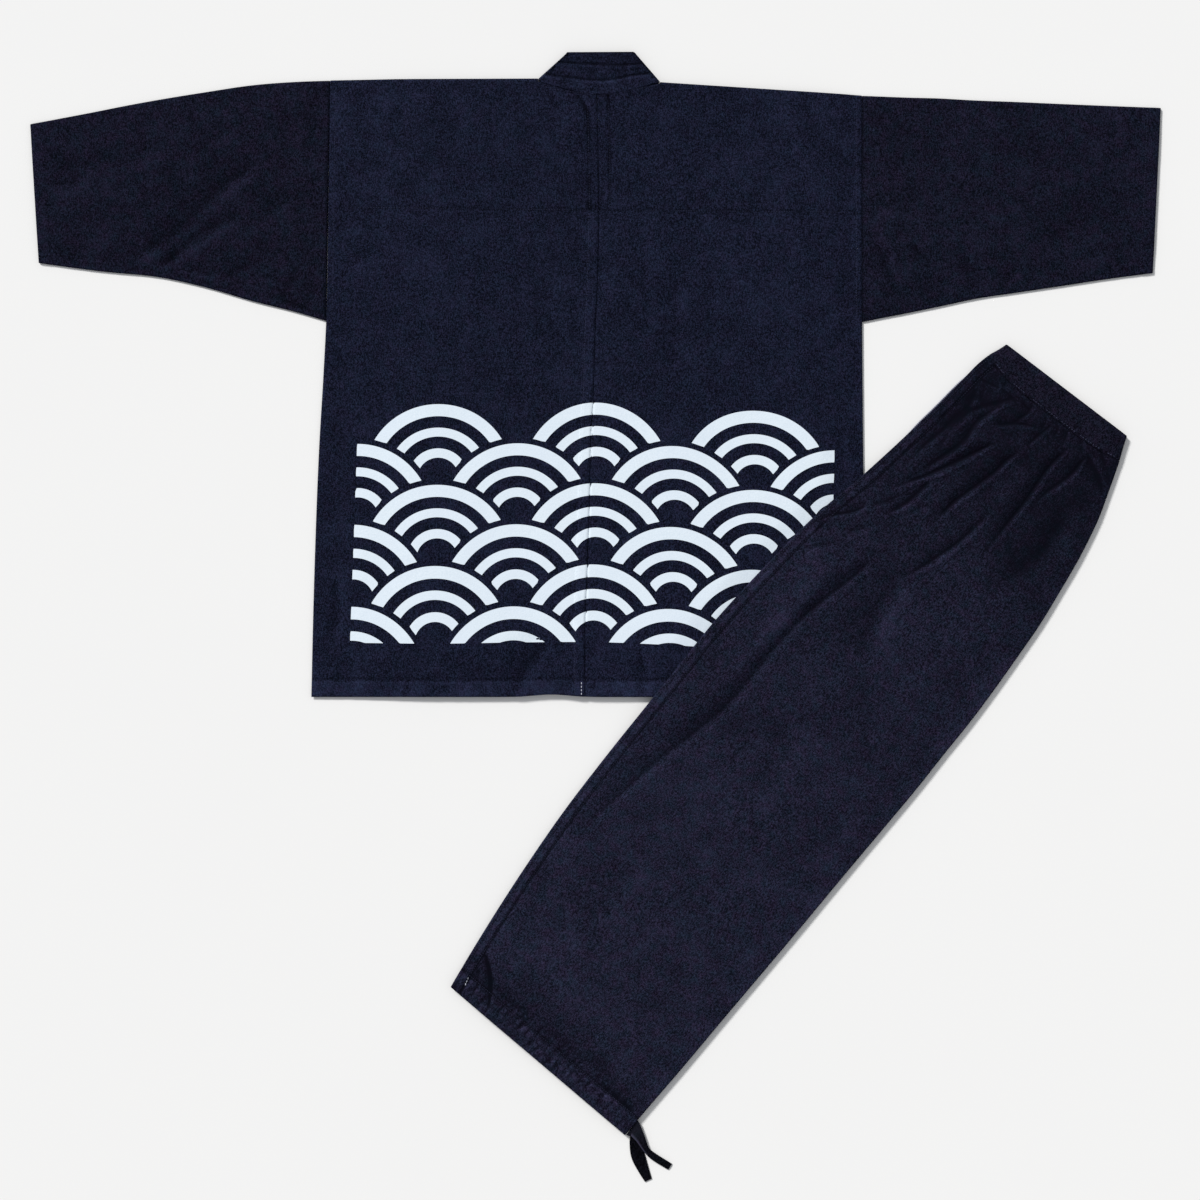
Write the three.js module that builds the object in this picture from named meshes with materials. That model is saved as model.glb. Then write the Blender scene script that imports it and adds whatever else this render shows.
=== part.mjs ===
// A two-piece samue work suit, laid out flat: the jacket back up with its sleeves spread, and the
// drawstring trousers folded in half along their centre line and laid across the jacket's lower corner.
// Millimetres, +Z up. The origin is on the surface the cloth lies on, under the middle of the whole layout.
import * as THREE from "three";

// ---------------------------------------------------------------- driving sizes
const WALL = 1.2; // one layer of indigo denim
const GAP = 0.3; // between layers, and between pieces at a seam
const BAND = 2.0; // the collar, folded cloth
const HEM_Y = -95.4; // the jacket's hem
const UNDERARM_Y = 355; // where sleeve and side seam meet
const FRONT_SLANT = 0.42; // how far the collar seam runs across the front for each mm down
const FRONT_REACH = 152; // how far each front passes the centre line below the collar
const COLLAR_W = 46; // the collar's width, down the fronts
const COLLAR_END_Y = 120; // where the collar ends on the front edge
const FRONT_LIFT = 2.3; // the inner front lies this high, over the outer front and its collar
const BAND_H = 31; // the trousers' waistband, waist to seam
const ELASTIC = 1.5; // the waistband's wall
const LEG_LEN = 1015.8; // waist to leg hem
const UNDER_T = 3.0; // the two hidden layers of the lower leg, as one
const TIE_T = 1.5;

// the trousers' own frame: s runs from the waist down the leg, w across it to the outer edge
const WAIST = { x: 564.6, y: 271.2 };
const LEG_DIR = { x: -0.61957, y: -0.78494 };
const ACROSS = { x: 0.78494, y: -0.61957 };

// ---------------------------------------------------------------- tables, a row for each section or fold
// how high the back panels lie over the fronts below them
const backLift = [
  { x: -345, z: 1.5 },
  { x: -262, z: 1.5 },
  { x: -205, z: 4.6 },
  { x: 200, z: 4.6 },
  { x: 284, z: 4.0 },
  { x: 318, z: 1.5 },
  { x: 345, z: 1.5 },
];
// the side edges of the body, from the hem to the shoulder
const sideEdge = [
  { y: -95.4, left: -341.1, right: 323.4 },
  { y: -20, left: -339.5, right: 322.8 },
  { y: 70, left: -337.0, right: 322.0 },
  { y: 215, left: -331.2, right: 321.2 },
  { y: 285, left: -327.0, right: 320.6 },
  { y: 355, left: -323.4, right: 320.1 },
  { y: 500, left: -320.6, right: 319.8 },
  { y: 650, left: -318.6, right: 319.8 },
];
// the shoulder fold
const shoulder = [
  { x: -320, y: 644.9 },
  { x: -240, y: 646.4 },
  { x: -69, y: 647.0 },
  { x: 77.4, y: 642.4 },
  { x: 320, y: 626.8 },
];
// the back neckline, from the centre seam out to the neck points
const neckline = [
  { y: 626.5, left: 1.65, right: 1.95 },
  { y: 629.9, left: -21, right: 32 },
  { y: 634.8, left: -41.5, right: 52 },
  { y: 639.2, left: -57, right: 68 },
  { y: 643.0, left: -68.7, right: 77.1 },
];
// the centre-back seam, from the hem to the neck
const centreLine = [
  { y: -95.4, x: -12.6 },
  { y: 70, x: -9.2 },
  { y: 215, x: -5.2 },
  { y: 355, x: 0.2 },
  { y: 500, x: 4.2 },
  { y: 626.5, x: 1.8 },
];
// sleeves: the upper edge (a fold) and the lower edge (the underarm seam), from the armhole to the cuff
const sleeveL = [
  { x: -323.3, top: 643.8, bottom: 355.8, puff: 0.0 },
  { x: -310, top: 643.8, bottom: 361.2, puff: 0.5 },
  { x: -272, top: 641.6, bottom: 373.5, puff: 1.6 },
  { x: -234, top: 636.6, bottom: 386.4, puff: 2.0 },
  { x: -196, top: 630.8, bottom: 399.0, puff: 2.0 },
  { x: -158, top: 623.8, bottom: 407.4, puff: 1.8 },
  { x: -108, top: 614.8, bottom: 414.8, puff: 1.4 },
  { x: -62, top: 605.4, bottom: 419.4, puff: 0.9 },
  { x: 0, top: 592.2, bottom: 425.4, puff: 0.2 },
];
const sleeveR = [
  { x: 320.4, top: 626.6, bottom: 354.6, puff: 0.0 },
  { x: 336, top: 626.0, bottom: 357.8, puff: 0.5 },
  { x: 372, top: 624.6, bottom: 364.8, puff: 1.4 },
  { x: 412, top: 623.5, bottom: 373.0, puff: 1.8 },
  { x: 456, top: 621.1, bottom: 382.4, puff: 1.8 },
  { x: 504, top: 619.3, bottom: 389.6, puff: 1.6 },
  { x: 558, top: 616.9, bottom: 397.6, puff: 1.2 },
  { x: 616, top: 614.5, bottom: 406.4, puff: 0.8 },
  { x: 678.6, top: 612.1, bottom: 414.6, puff: 0.2 },
];
// the trousers' two edges: centre seam and inseam on the inner side, folded side on the outer
const legEdge = [
  { s: 0, inner: -90.4, outer: 90.4 },
  { s: 31, inner: -99.8, outer: 101.8 },
  { s: 48, inner: -103.5, outer: 107.3 },
  { s: 72, inner: -106.2, outer: 115.2 },
  { s: 108, inner: -110.4, outer: 127.6 },
  { s: 144, inner: -115.6, outer: 135.6 },
  { s: 192, inner: -123.0, outer: 142.8 },
  { s: 240, inner: -131.4, outer: 148.8 },
  { s: 288, inner: -141.6, outer: 151.8 },
  { s: 336, inner: -148.8, outer: 154.2 },
  { s: 384, inner: -153.6, outer: 155.4 },
  { s: 432, inner: -157.8, outer: 154.8 },
  { s: 480, inner: -160.8, outer: 154.8 },
  { s: 552, inner: -161.4, outer: 152.8 },
  { s: 624, inner: -162.0, outer: 150.6 },
  { s: 696, inner: -162.2, outer: 148.8 },
  { s: 768, inner: -161.0, outer: 146.4 },
  { s: 840, inner: -156.6, outer: 143.8 },
  { s: 912, inner: -150.0, outer: 141.6 },
  { s: 972, inner: -143.0, outer: 138.9 },
  { s: 1015.8, inner: -137.0, outer: 137.4 },
];
// the largest folds of the trousers' upper face, in the leg's frame: a trough from one end to the other
const legFolds = [
  { s1: 292, w1: -58, s2: 660, w2: -98, half: 24, deep: 2.6 }, // the long one beside the inseam
  { s1: 40, w1: -22, s2: 235, w2: -66, half: 15, deep: 1.8 },
  { s1: 42, w1: 10, s2: 240, w2: -12, half: 16, deep: 2.0 },
  { s1: 46, w1: 42, s2: 250, w2: 44, half: 17, deep: 1.8 },
  { s1: 44, w1: 68, s2: 150, w2: 98, half: 14, deep: 1.4 },
];
// the largest folds of the sleeves and of the back, in the row frame
const sleeveFolds = [
  { x1: -378, y1: 560, x2: -590, y2: 428, half: 22, deep: 1.5 },
  { x1: -420, y1: 496, x2: -520, y2: 420, half: 18, deep: 1.4 },
  { x1: 352, y1: 420, x2: 420, y2: 560, half: 24, deep: 1.0 },
];

// ---------------------------------------------------------------- helpers
const clamp01 = (v) => Math.min(1, Math.max(0, v));
const smooth = (a, b, v) => {
  const t = clamp01((v - a) / (b - a));
  return t * t * (3 - 2 * t);
};
const lerp = (a, b, t) => a + (b - a) * t;
// a column of a table, read between its rows
function read(table, key, column, v) {
  if (v <= table[0][key]) return table[0][column];
  for (let i = 1; i < table.length; i++)
    if (v <= table[i][key]) {
      const a = table[i - 1],
        b = table[i];
      return lerp(a[column], b[column], (v - a[key]) / (b[key] - a[key]));
    }
  return table[table.length - 1][column];
}
// how deep a set of troughs is at a point
function trough(folds, names, p, q) {
  const [a, b, c, d] = names;
  let sum = 0;
  for (const f of folds) {
    const dx = f[c] - f[a],
      dy = f[d] - f[b],
      len = Math.hypot(dx, dy);
    const along = ((p - f[a]) * dx + (q - f[b]) * dy) / (len * len);
    const off = Math.abs((p - f[a]) * dy - (q - f[b]) * dx) / len;
    const fade = smooth(-0.08, 0.2, along) * (1 - smooth(0.75, 1.08, along));
    sum += f.deep * fade * (1 - smooth(0, f.half, off));
  }
  return sum;
}
const v3 = (x, y, z) => new THREE.Vector3(x, y, z);

// One closed geometry from points and triangles, with its faces turned outwards.
function closed(points, faces) {
  let volume = 0;
  for (const [a, b, c] of faces)
    volume += points[a].dot(v3(0, 0, 0).crossVectors(points[b], points[c]));
  const index = faces.flatMap((f) => (volume < 0 ? [f[0], f[2], f[1]] : f));
  return new THREE.BufferGeometry().setFromPoints(points).setIndex(index);
}

// A wall of cloth: two grids of points, its two faces, joined round the edge.
function sheetWall(faceA, faceB) {
  const rows = faceA.length,
    cols = faceA[0].length,
    n = rows * cols,
    at = (r, c) => r * cols + c;
  const points = [...faceA.flat(), ...faceB.flat()],
    faces = [];
  const quad = (a, b, c, d) => faces.push([a, b, c], [a, c, d]);
  for (let r = 0; r + 1 < rows; r++)
    for (let c = 0; c + 1 < cols; c++) {
      quad(at(r, c), at(r + 1, c), at(r + 1, c + 1), at(r, c + 1));
      quad(n + at(r, c), n + at(r, c + 1), n + at(r + 1, c + 1), n + at(r + 1, c));
    }
  const rim = [];
  for (let c = 0; c < cols; c++) rim.push(at(0, c));
  for (let r = 1; r < rows; r++) rim.push(at(r, cols - 1));
  for (let c = cols - 2; c >= 0; c--) rim.push(at(rows - 1, c));
  for (let r = rows - 2; r > 0; r--) rim.push(at(r, 0));
  rim.forEach((a, i) => {
    const b = rim[(i + 1) % rim.length];
    quad(a, b, n + b, n + a);
  });
  return closed(points, faces);
}

// A tube of cloth: a ring of points outside and one inside at each section, open at both ends.
function tubeWall(outer, inner) {
  const rows = outer.length,
    k = outer[0].length,
    n = rows * k,
    faces = [];
  const quad = (a, b, c, d) => faces.push([a, b, c], [a, c, d]);
  for (let i = 0; i < k; i++) {
    const j = (i + 1) % k;
    for (let r = 0; r + 1 < rows; r++) {
      quad(r * k + i, (r + 1) * k + i, (r + 1) * k + j, r * k + j);
      quad(n + r * k + i, n + r * k + j, n + (r + 1) * k + j, n + (r + 1) * k + i);
    }
    const e = (rows - 1) * k;
    quad(i, j, n + j, n + i);
    quad(e + i, n + e + i, n + e + j, e + j);
  }
  return closed([...outer.flat(), ...inner.flat()], faces);
}

// A filled body through rings that are a row of points and the same row back below it.
function filledLoft(rings) {
  const k = rings[0].length,
    half = k / 2,
    faces = [];
  const quad = (a, b, c, d) => faces.push([a, b, c], [a, c, d]);
  for (let r = 0; r + 1 < rings.length; r++)
    for (let i = 0; i < k; i++) {
      const j = (i + 1) % k;
      quad(r * k + i, (r + 1) * k + i, (r + 1) * k + j, r * k + j);
    }
  const e = (rings.length - 1) * k;
  for (let i = 0; i + 1 < half; i++) {
    quad(i, i + 1, k - 2 - i, k - 1 - i);
    quad(e + i, e + k - 1 - i, e + k - 2 - i, e + i + 1);
  }
  return closed(rings.flat(), faces);
}

// ---------------------------------------------------------------- colours
const cloth = (name, color) =>
  new THREE.MeshStandardMaterial({ name, color, roughness: 0.92, metalness: 0 });
const denim = cloth("indigo_denim", 0x171a2a);
const denimSleeve = cloth("indigo_denim_sleeve", 0x151624);
const denimTrousers = cloth("indigo_denim_trousers", 0x1c1d2d);
const denimTie = cloth("indigo_tie", 0x101018);

const suit = new THREE.Group();
suit.name = "samue_set";
const jacket = new THREE.Group();
const trousers = new THREE.Group();
suit.add(jacket, trousers);
function add(group, name, geometry, material) {
  const m = new THREE.Mesh(geometry, material);
  m.name = name;
  group.add(m);
}

// ---------------------------------------------------------------- heights of the jacket's layers
const lift = (x) => read(backLift, "x", "z", x);
const innerFront = (x) => FRONT_LIFT * (1 - smooth(292, 319, x));
const centreSeam = (y) => read(centreLine, "y", "x", y);
const collarSeamL = (y) => -69 + FRONT_SLANT * (646.2 - y);
const collarSeamR = (y) => 77.4 - FRONT_SLANT * (642.4 - y);

// ---------------------------------------------------------------- body: back and front in one length over the shoulder
const BACK_Y = [HEM_Y, 70, 215, 285, 355, 500, 626.5];
const FRONT_Y = [610, 482, 355, 285, 215, 70, HEM_Y + 1];
const TURN = [60, 20, -20, -60, -90];
const COLUMNS = [0, 0.05, 0.118, 0.2, 0.38, 0.6, 0.8, 1]; // from the side seam to the centre, closer where the lift changes

function bodyPanel(side) {
  const left = side === "left";
  const frontZ = (x) => (left ? 0 : innerFront(x)) + WALL / 2;
  const backZ = (x) => lift(x) + WALL / 2;
  const turnR = (x) => (backZ(x) - frontZ(x)) / 2;
  const edge = left ? -1 : 1;
  const neckX = left ? -69 : 77.4;
  const beyondNeck = (x) => (left ? Math.min(x, neckX) : Math.max(x, neckX));
  const foldY = (x) => read(shoulder, "x", "y", beyondNeck(x)) - turnR(x) - WALL / 2;
  const outX = (y) => read(sideEdge, "y", side, y);
  const a = [],
    b = [];
  const put = (row, x, y, z, ny, nz) => {
    row[0].push(v3(x, y + (ny * WALL) / 2, z + (nz * WALL) / 2));
    row[1].push(v3(x, y - (ny * WALL) / 2, z - (nz * WALL) / 2));
  };
  const addRow = (make) => {
    const row = [[], []];
    for (const t of COLUMNS) make(row, t);
    a.push(row[0]);
    b.push(row[1]);
  };
  const neckFold = foldY(neckX);
  // a row's height at the neck is y; towards the armhole it follows the slope of the shoulder
  const slope = (y, x) =>
    HEM_Y + ((y - HEM_Y) * (foldY(x) - HEM_Y)) / (neckFold - HEM_Y);
  const backRow = (y, inX) =>
    addRow((row, t) => {
      const x = lerp(outX(y), inX, t);
      put(row, x, slope(y, x), backZ(x), 0, 1);
    });
  for (const y of BACK_Y) backRow(y, centreSeam(y) + edge * 0.15);
  for (const n of neckline.slice(1, -1)) backRow(n.y, n[side]);
  backRow(neckFold, neckX);
  for (const degrees of TURN) {
    const phi = (degrees * Math.PI) / 180;
    addRow((row, t) => {
      const x = lerp(outX(650), neckX, t),
        r = turnR(x);
      put(
        row,
        x,
        foldY(x) + r * Math.cos(phi),
        (backZ(x) + frontZ(x)) / 2 + r * Math.sin(phi),
        Math.cos(phi),
        Math.sin(phi),
      );
    });
  }
  for (const y of FRONT_Y) {
    const seam = left ? collarSeamL(y) : collarSeamR(y);
    const inX = left ? Math.min(seam, -0.15) : Math.max(seam, 0.15);
    addRow((row, t) => {
      const x = lerp(outX(y) - edge * 0.4, inX, t);
      put(row, x, y === FRONT_Y[FRONT_Y.length - 1] ? y : slope(y, x), frontZ(x), 0, -1);
    });
  }
  return sheetWall(a, b);
}
add(jacket, "body_left", bodyPanel("left"), denim);
add(jacket, "body_right", bodyPanel("right"), denim);

// ---------------------------------------------------------------- okumi: the panel that carries each front past the centre
function okumi(side) {
  const left = side === "left";
  const seam = left ? collarSeamL : collarSeamR;
  const tipY = left ? 478 : 455;
  const a = [],
    b = [];
  for (const y of [tipY, 400, 310, 215, COLLAR_END_Y, 20, HEM_Y + 1]) {
    const edge = left
      ? Math.min(seam(y), FRONT_REACH)
      : Math.max(seam(y), -FRONT_REACH);
    const from = left ? 0.15 : -0.15;
    const rowA = [],
      rowB = [];
    for (let c = 0; c <= 4; c++) {
      const x = lerp(from, edge, c / 4),
        z = left ? 0 : innerFront(x);
      rowA.push(v3(x, y, z + WALL));
      rowB.push(v3(x, y, z));
    }
    a.push(rowA);
    b.push(rowB);
  }
  return sheetWall(a, b);
}
add(jacket, "okumi_left", okumi("left"), denim);
add(jacket, "okumi_right", okumi("right"), denim);

// ---------------------------------------------------------------- collar: one band from the left front's edge, round the neck, to the right's
// sections: the seam point, the free-edge point, the height of the band's middle and how far it has turned over
function collarSections() {
  const rows = [];
  const front = (seam, mirror, zMid) => {
    const d = v3(mirror * FRONT_SLANT, -1, 0).normalize();
    const across = v3(-d.y * mirror, d.x * mirror, 0); // from the seam towards the opening
    return [COLLAR_END_Y, 215, 330, 440, 540, 610].map((y) => {
      const p = v3(seam(y), y, zMid).addScaledVector(across, GAP);
      return { p, q: p.clone().addScaledVector(across, COLLAR_W), turn: -90 };
    });
  };
  const backMid = lift(0) + BAND / 2;
  const turnRows = (p, q, zLow, degrees) => {
    const along = q.clone().sub(p).setZ(0).normalize();
    const out = v3(-along.y, along.x, 0);
    if (out.x * p.x < 0) out.negate();
    const r = (backMid - zLow) / 2,
      mid = (backMid + zLow) / 2;
    return degrees.map((deg) => {
      const phi = (deg * Math.PI) / 180;
      const shift = out.clone().multiplyScalar(r * Math.cos(phi) - r - BAND / 2);
      return {
        p: p.clone().add(shift).setZ(mid + r * Math.sin(phi)),
        q: q.clone().add(shift).setZ(mid + r * Math.sin(phi)),
        turn: deg,
        out,
      };
    });
  };
  const lowL = BAND / 2,
    lowR = FRONT_LIFT + BAND / 2;
  rows.push(...front(collarSeamL, 1, lowL));
  const foldL = [v3(-67.4, 647.6, 0), v3(-34.2, 677.6, 0)];
  const foldR = [v3(76.2, 644.2, 0), v3(46.4, 678.6, 0)];
  rows.push(...turnRows(foldL[0], foldL[1], lowL, [-90, -45, 0, 45, 90]));
  const back = [
    { t: 0.14, x: -50, y: 638.2 },
    { t: 0.32, x: -25, y: 631.4 },
    { t: 0.5, x: 3, y: 627.6 },
    { t: 0.68, x: 34, y: 630.9 },
    { t: 0.86, x: 58, y: 637.6 },
  ];
  for (const k of back)
    rows.push({
      p: v3(k.x, k.y, backMid),
      q: v3(lerp(-31.6, 44.6, k.t), 678.5, backMid),
      turn: 90,
    });
  rows.push(...turnRows(foldR[0], foldR[1], lowR, [90, 30, -30, -90]));
  rows.push(...front(collarSeamR, -1, lowR).reverse());
  return rows;
}
{
  const a = [],
    b = [];
  for (const row of collarSections()) {
    const phi = (row.turn * Math.PI) / 180;
    const n = v3(0, 0, Math.sin(phi));
    if (row.out) n.addScaledVector(row.out, Math.cos(phi));
    const across = [0, 0.33, 0.67, 1].map((t) => row.p.clone().lerp(row.q, t));
    a.push(across.map((p) => p.clone().addScaledVector(n, BAND / 2)));
    b.push(across.map((p) => p.clone().addScaledVector(n, -BAND / 2)));
  }
  add(jacket, "collar", sheetWall(a, b), denim);
}

// ---------------------------------------------------------------- sleeves
// the left sleeve's armhole, 0.3 off the body's leaning edge, and its long edges
const ARMHOLE_L = { top: -318.95, bottom: -323.7 };
const topLine = [
  { x: -678.6, y: 592.6 },
  { x: -617, y: 604.2 },
  { x: -544, y: 618.4 },
  { x: -465, y: 631.5 },
  { x: -412, y: 639.3 },
  { x: -359, y: 643.4 },
  { x: -319, y: 644.8 },
];
const underLine = [
  { x: -668.4, y: 425.4 },
  { x: -597, y: 415.8 },
  { x: -518, y: 407.4 },
  { x: -465, y: 395.4 },
  { x: -412, y: 379.8 },
  { x: -359, y: 366.4 },
  { x: -323, y: 355.8 },
];
function sleeve(side) {
  const left = side === "left";
  const table = left ? sleeveL : sleeveR;
  const cuff = left
    ? { top: v3(-678.6, 592.6, 0), bottom: v3(-668.4, 425.4, 0) }
    : { top: v3(678.6, 612.1, 0), bottom: v3(669.0, 414.6, 0) };
  const sections = left
    ? [0, -13.3, -51.3, -89.3, -127.3, -165.3, -215.3, -261.3, -320].map((d, i) => ({
        ...table[i],
        d,
      }))
    : table.map((row) => ({ ...row, d: row.x - 320.4 }));
  const TOPS = 9;
  const outer = [],
    inner = [];
  sections.forEach((row, i) => {
    // the section leans from the armhole to the slanted cuff
    const lean = i / (sections.length - 1);
    const topX = left ? lerp(ARMHOLE_L.top, cuff.top.x, row.d / -320) : row.x;
    const bottomX = left
      ? lerp(ARMHOLE_L.bottom, cuff.bottom.x, row.d / -320)
      : lerp(row.x, cuff.bottom.x, lean ** 4);
    const topY = left ? read(topLine, "x", "y", topX) : row.top;
    const bottomY = left ? read(underLine, "x", "y", bottomX) : row.bottom;
    const ring = (thin) => {
      const r = (2 * WALL + GAP) / 2 - thin,
        pts = [];
      const place = (t, z) => pts.push(v3(lerp(topX, bottomX, t), lerp(topY, bottomY, t), z));
      const width = topY - bottomY;
      const ease = (t) => Math.sin(Math.PI * clamp01(t)) ** 0.7;
      for (let k = 0; k <= TOPS; k++) {
        const t = lerp(1.35 / width, 1 - 1.35 / width, k / TOPS);
        const x = lerp(topX, bottomX, t),
          y = lerp(topY, bottomY, t);
        const up =
          row.puff * ease(t) -
          Math.min(row.puff * 0.9, trough(sleeveFolds, ["x1", "y1", "x2", "y2"], x, y)) *
            ease(t);
        place(t, 2 * WALL + GAP - thin + up);
      }
      pts.push(v3(bottomX, bottomY + thin, WALL + GAP / 2));
      for (let k = 6; k >= 0; k--)
        place(lerp(1.35 / width, 1 - 1.35 / width, k / 6), thin);
      pts.push(v3(topX, topY - thin, WALL + GAP / 2));
      return pts;
    };
    outer.push(ring(0));
    inner.push(ring(WALL));
  });
  return tubeWall(outer, inner);
}
add(jacket, "sleeve_left", sleeve("left"), denimSleeve);
add(jacket, "sleeve_right", sleeve("right"), denimSleeve);

// ---------------------------------------------------------------- closing ties, flat under the right front
function ribbon(rows, thick) {
  const a = [],
    b = [];
  rows.forEach((row, i) => {
    const p = rows[Math.max(0, i - 1)],
      q = rows[Math.min(rows.length - 1, i + 1)];
    const d = v3(q.x - p.x, q.y - p.y, 0).normalize();
    const n = v3(-d.y, d.x, 0).multiplyScalar(row.wide / 2);
    const c = v3(row.x, row.y, row.z);
    const edge = [c.clone().add(n), c, c.clone().sub(n)];
    a.push(edge.map((e) => e.clone().setZ(e.z + thick)));
    b.push(edge);
  });
  return sheetWall(a, b);
}
add(
  jacket,
  "tie_front_edge",
  ribbon(
    [
      { x: 203, y: 126, z: 0, wide: 14 },
      { x: 214, y: 84, z: 0, wide: 14 },
      { x: 222, y: 36, z: 0, wide: 14 },
      { x: 221, y: -14, z: 0, wide: 14 },
      { x: 213, y: -62, z: 0, wide: 14 },
    ],
    TIE_T,
  ),
  denim,
);
add(
  jacket,
  "tie_side",
  ribbon(
    [
      { x: 282, y: 132, z: 0, wide: 14 },
      { x: 276, y: 88, z: 0, wide: 14 },
      { x: 264, y: 42, z: 0, wide: 14 },
      { x: 258, y: -8, z: 0, wide: 14 },
      { x: 262, y: -58, z: 0, wide: 14 },
    ],
    TIE_T,
  ),
  denim,
);

// ---------------------------------------------------------------- trousers
// the elastic draws the waist seam into a bow, furthest from the waist in the middle
const bow = (w) =>
  Math.max(-12, 5.2 - (w < 10 ? 14.2 * ((10 - w) / 112) ** 4 : 10 * ((w - 10) / 98) ** 4));
// neither end is cut square: the waist and the hem both reach further at the outer edge
const lean = (s, w) =>
  bow(w) * smooth(0, BAND_H, s) * (1 - smooth(BAND_H, 130, s)) -
  3.3 * clamp01((w + 90) / 190) * (1 - smooth(0, 260, s)) +
  smooth(640, LEG_LEN, s) * lerp(2.4, 12.3, clamp01((w + 137) / 274));
const legX = (s, w) => WAIST.x + LEG_DIR.x * (s + lean(s, w)) + ACROSS.x * w;
const legY = (s, w) => WAIST.y + LEG_DIR.y * (s + lean(s, w)) + ACROSS.y * w;
// what the trousers lie on: the jacket, then down past its edge to the surface
function ground(x, y) {
  const onJacket = (1 - smooth(292, 372, x)) * (1 - smooth(20, 54, HEM_Y - y));
  return onJacket * (lift(0) + WALL + 0.6);
}
const innerW = (s) => read(legEdge, "s", "inner", s);
const outerW = (s) => read(legEdge, "s", "outer", s);
// the loose fullness of the upper leg: flat at the edges, at the waist and at the hem
const fullness = (s, t) =>
  (0.9 + 2.0 * smooth(20, 140, s) * (1 - smooth(560, 1000, s))) *
  Math.sin(Math.PI * clamp01(t)) ** 0.6;

const LEG_S = [
  31.6, 46, 62, 78, 96, 118, 142, 166, 190, 216, 244, 272, 300, 328, 356, 384, 412, 440, 468, 496,
  524, 552, 580, 608, 640, 690, 760, 850, 950, 1015.8,
];
const BOTTOMS = 12;
{
  const TOPS = 12;
  const make = (s, thin) => {
    const w0 = innerW(s),
      w1 = outerW(s),
      pts = [];
    const base = (w) => ground(legX(s, w), legY(s, w)) + UNDER_T + GAP;
    const height = 2 * WALL + GAP;
    const end = height / 2;
    for (let k = 0; k <= TOPS; k++) {
      const t = k / TOPS,
        w = lerp(w0 + end, w1 - end, t);
      const full = fullness(s, t);
      const dip = Math.min(full * 0.92, trough(legFolds, ["s1", "w1", "s2", "w2"], s, w));
      pts.push(v3(legX(s, w), legY(s, w), base(w) + height - thin + full - dip));
    }
    pts.push(v3(legX(s, w1 - thin), legY(s, w1 - thin), base(w1) + end));
    for (let k = BOTTOMS; k >= 0; k--) {
      const w = lerp(w0 + end, w1 - end, k / BOTTOMS);
      pts.push(v3(legX(s, w), legY(s, w), base(w) + thin));
    }
    pts.push(v3(legX(s, w0 + thin), legY(s, w0 + thin), base(w0) + end));
    return pts;
  };
  add(
    trousers,
    "leg_upper",
    tubeWall(
      LEG_S.map((s) => make(s, 0)),
      LEG_S.map((s) => make(s, WALL)),
    ),
    denimTrousers,
  );
}
// the lower leg: two hidden layers, set a little in from the upper one, and a little out by the waist
{
  const rings = LEG_S.map((s) => {
    const peek = 3.2 * smooth(40, 90, s) * (1 - smooth(130, 185, s)) - 2.0;
    const end = WALL + GAP / 2,
      w0 = innerW(s) + end,
      w1 = outerW(s) - end,
      top = [],
      low = [];
    for (let k = BOTTOMS; k >= 0; k--) {
      let w = lerp(w0, w1, k / BOTTOMS);
      if (k === 0) w = innerW(s) - peek;
      if (k === BOTTOMS) w = outerW(s) - 2.0;
      const g = ground(legX(s, w), legY(s, w));
      const bevel = k === 0 || k === BOTTOMS ? 0.9 : 0;
      top.push(v3(legX(s, w), legY(s, w), g + UNDER_T - bevel));
      low.unshift(v3(legX(s, w), legY(s, w), g + bevel));
    }
    return [...top, ...low];
  });
  add(trousers, "leg_lower", filledLoft(rings), denimTrousers);
}
// the waistband: a ring of elastic casing, flattened and then folded at the centre back, so four layers deep
{
  const pitch = ELASTIC + GAP;
  const level = [0, 1, 2, 3].map((i) => ELASTIC / 2 + i * pitch);
  const r1 = pitch / 2,
    r3 = pitch * 1.5;
  const path = (s) => {
    const a = lerp(-91.2, -99.8, s / BAND_H) + r3 + ELASTIC / 2,
      b = lerp(90.4, 101.8, s / BAND_H) - r1 - ELASTIC / 2,
      run = [];
    const straight = (w0, w1, z, up) => {
      for (let i = 0; i <= 12; i++) run.push({ w: lerp(w0, w1, i / 12), z, nw: 0, nz: up });
    };
    const turn = (w, z, r, from, to, out, n) => {
      for (let i = 1; i < n; i++) {
        const phi = (lerp(from, to, i / n) * Math.PI) / 180;
        run.push({
          w: w + r * Math.cos(phi),
          z: z + r * Math.sin(phi),
          nw: out * Math.cos(phi),
          nz: out * Math.sin(phi),
        });
      }
    };
    straight(a, b, level[0], -1);
    turn(b, level[0] + r1, r1, -90, 90, 1, 3);
    straight(b, a + 1.2, level[1], 1);
    turn(a + 1.2, level[1] + r1, r1, 270, 90, -1, 3);
    straight(a + 1.2, b, level[2], -1);
    turn(b, level[2] + r1, r1, -90, 90, 1, 3);
    straight(b, a, level[3], 1);
    turn(a, (level[0] + level[3]) / 2, r3, 90, 270, 1, 5);
    return run;
  };
  const rings = (s, side) =>
    path(s).map(({ w, z, nw, nz }) => {
      const ww = w + (side * nw * ELASTIC) / 2;
      return v3(legX(s, ww), legY(s, ww), z + (side * nz * ELASTIC) / 2);
    });
  const stations = [0, 10, 21, BAND_H - 0.15];
  add(
    trousers,
    "waistband",
    tubeWall(
      stations.map((s) => rings(s, 1)),
      stations.map((s) => rings(s, -1)),
    ),
    denimTrousers,
  );
}
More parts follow.
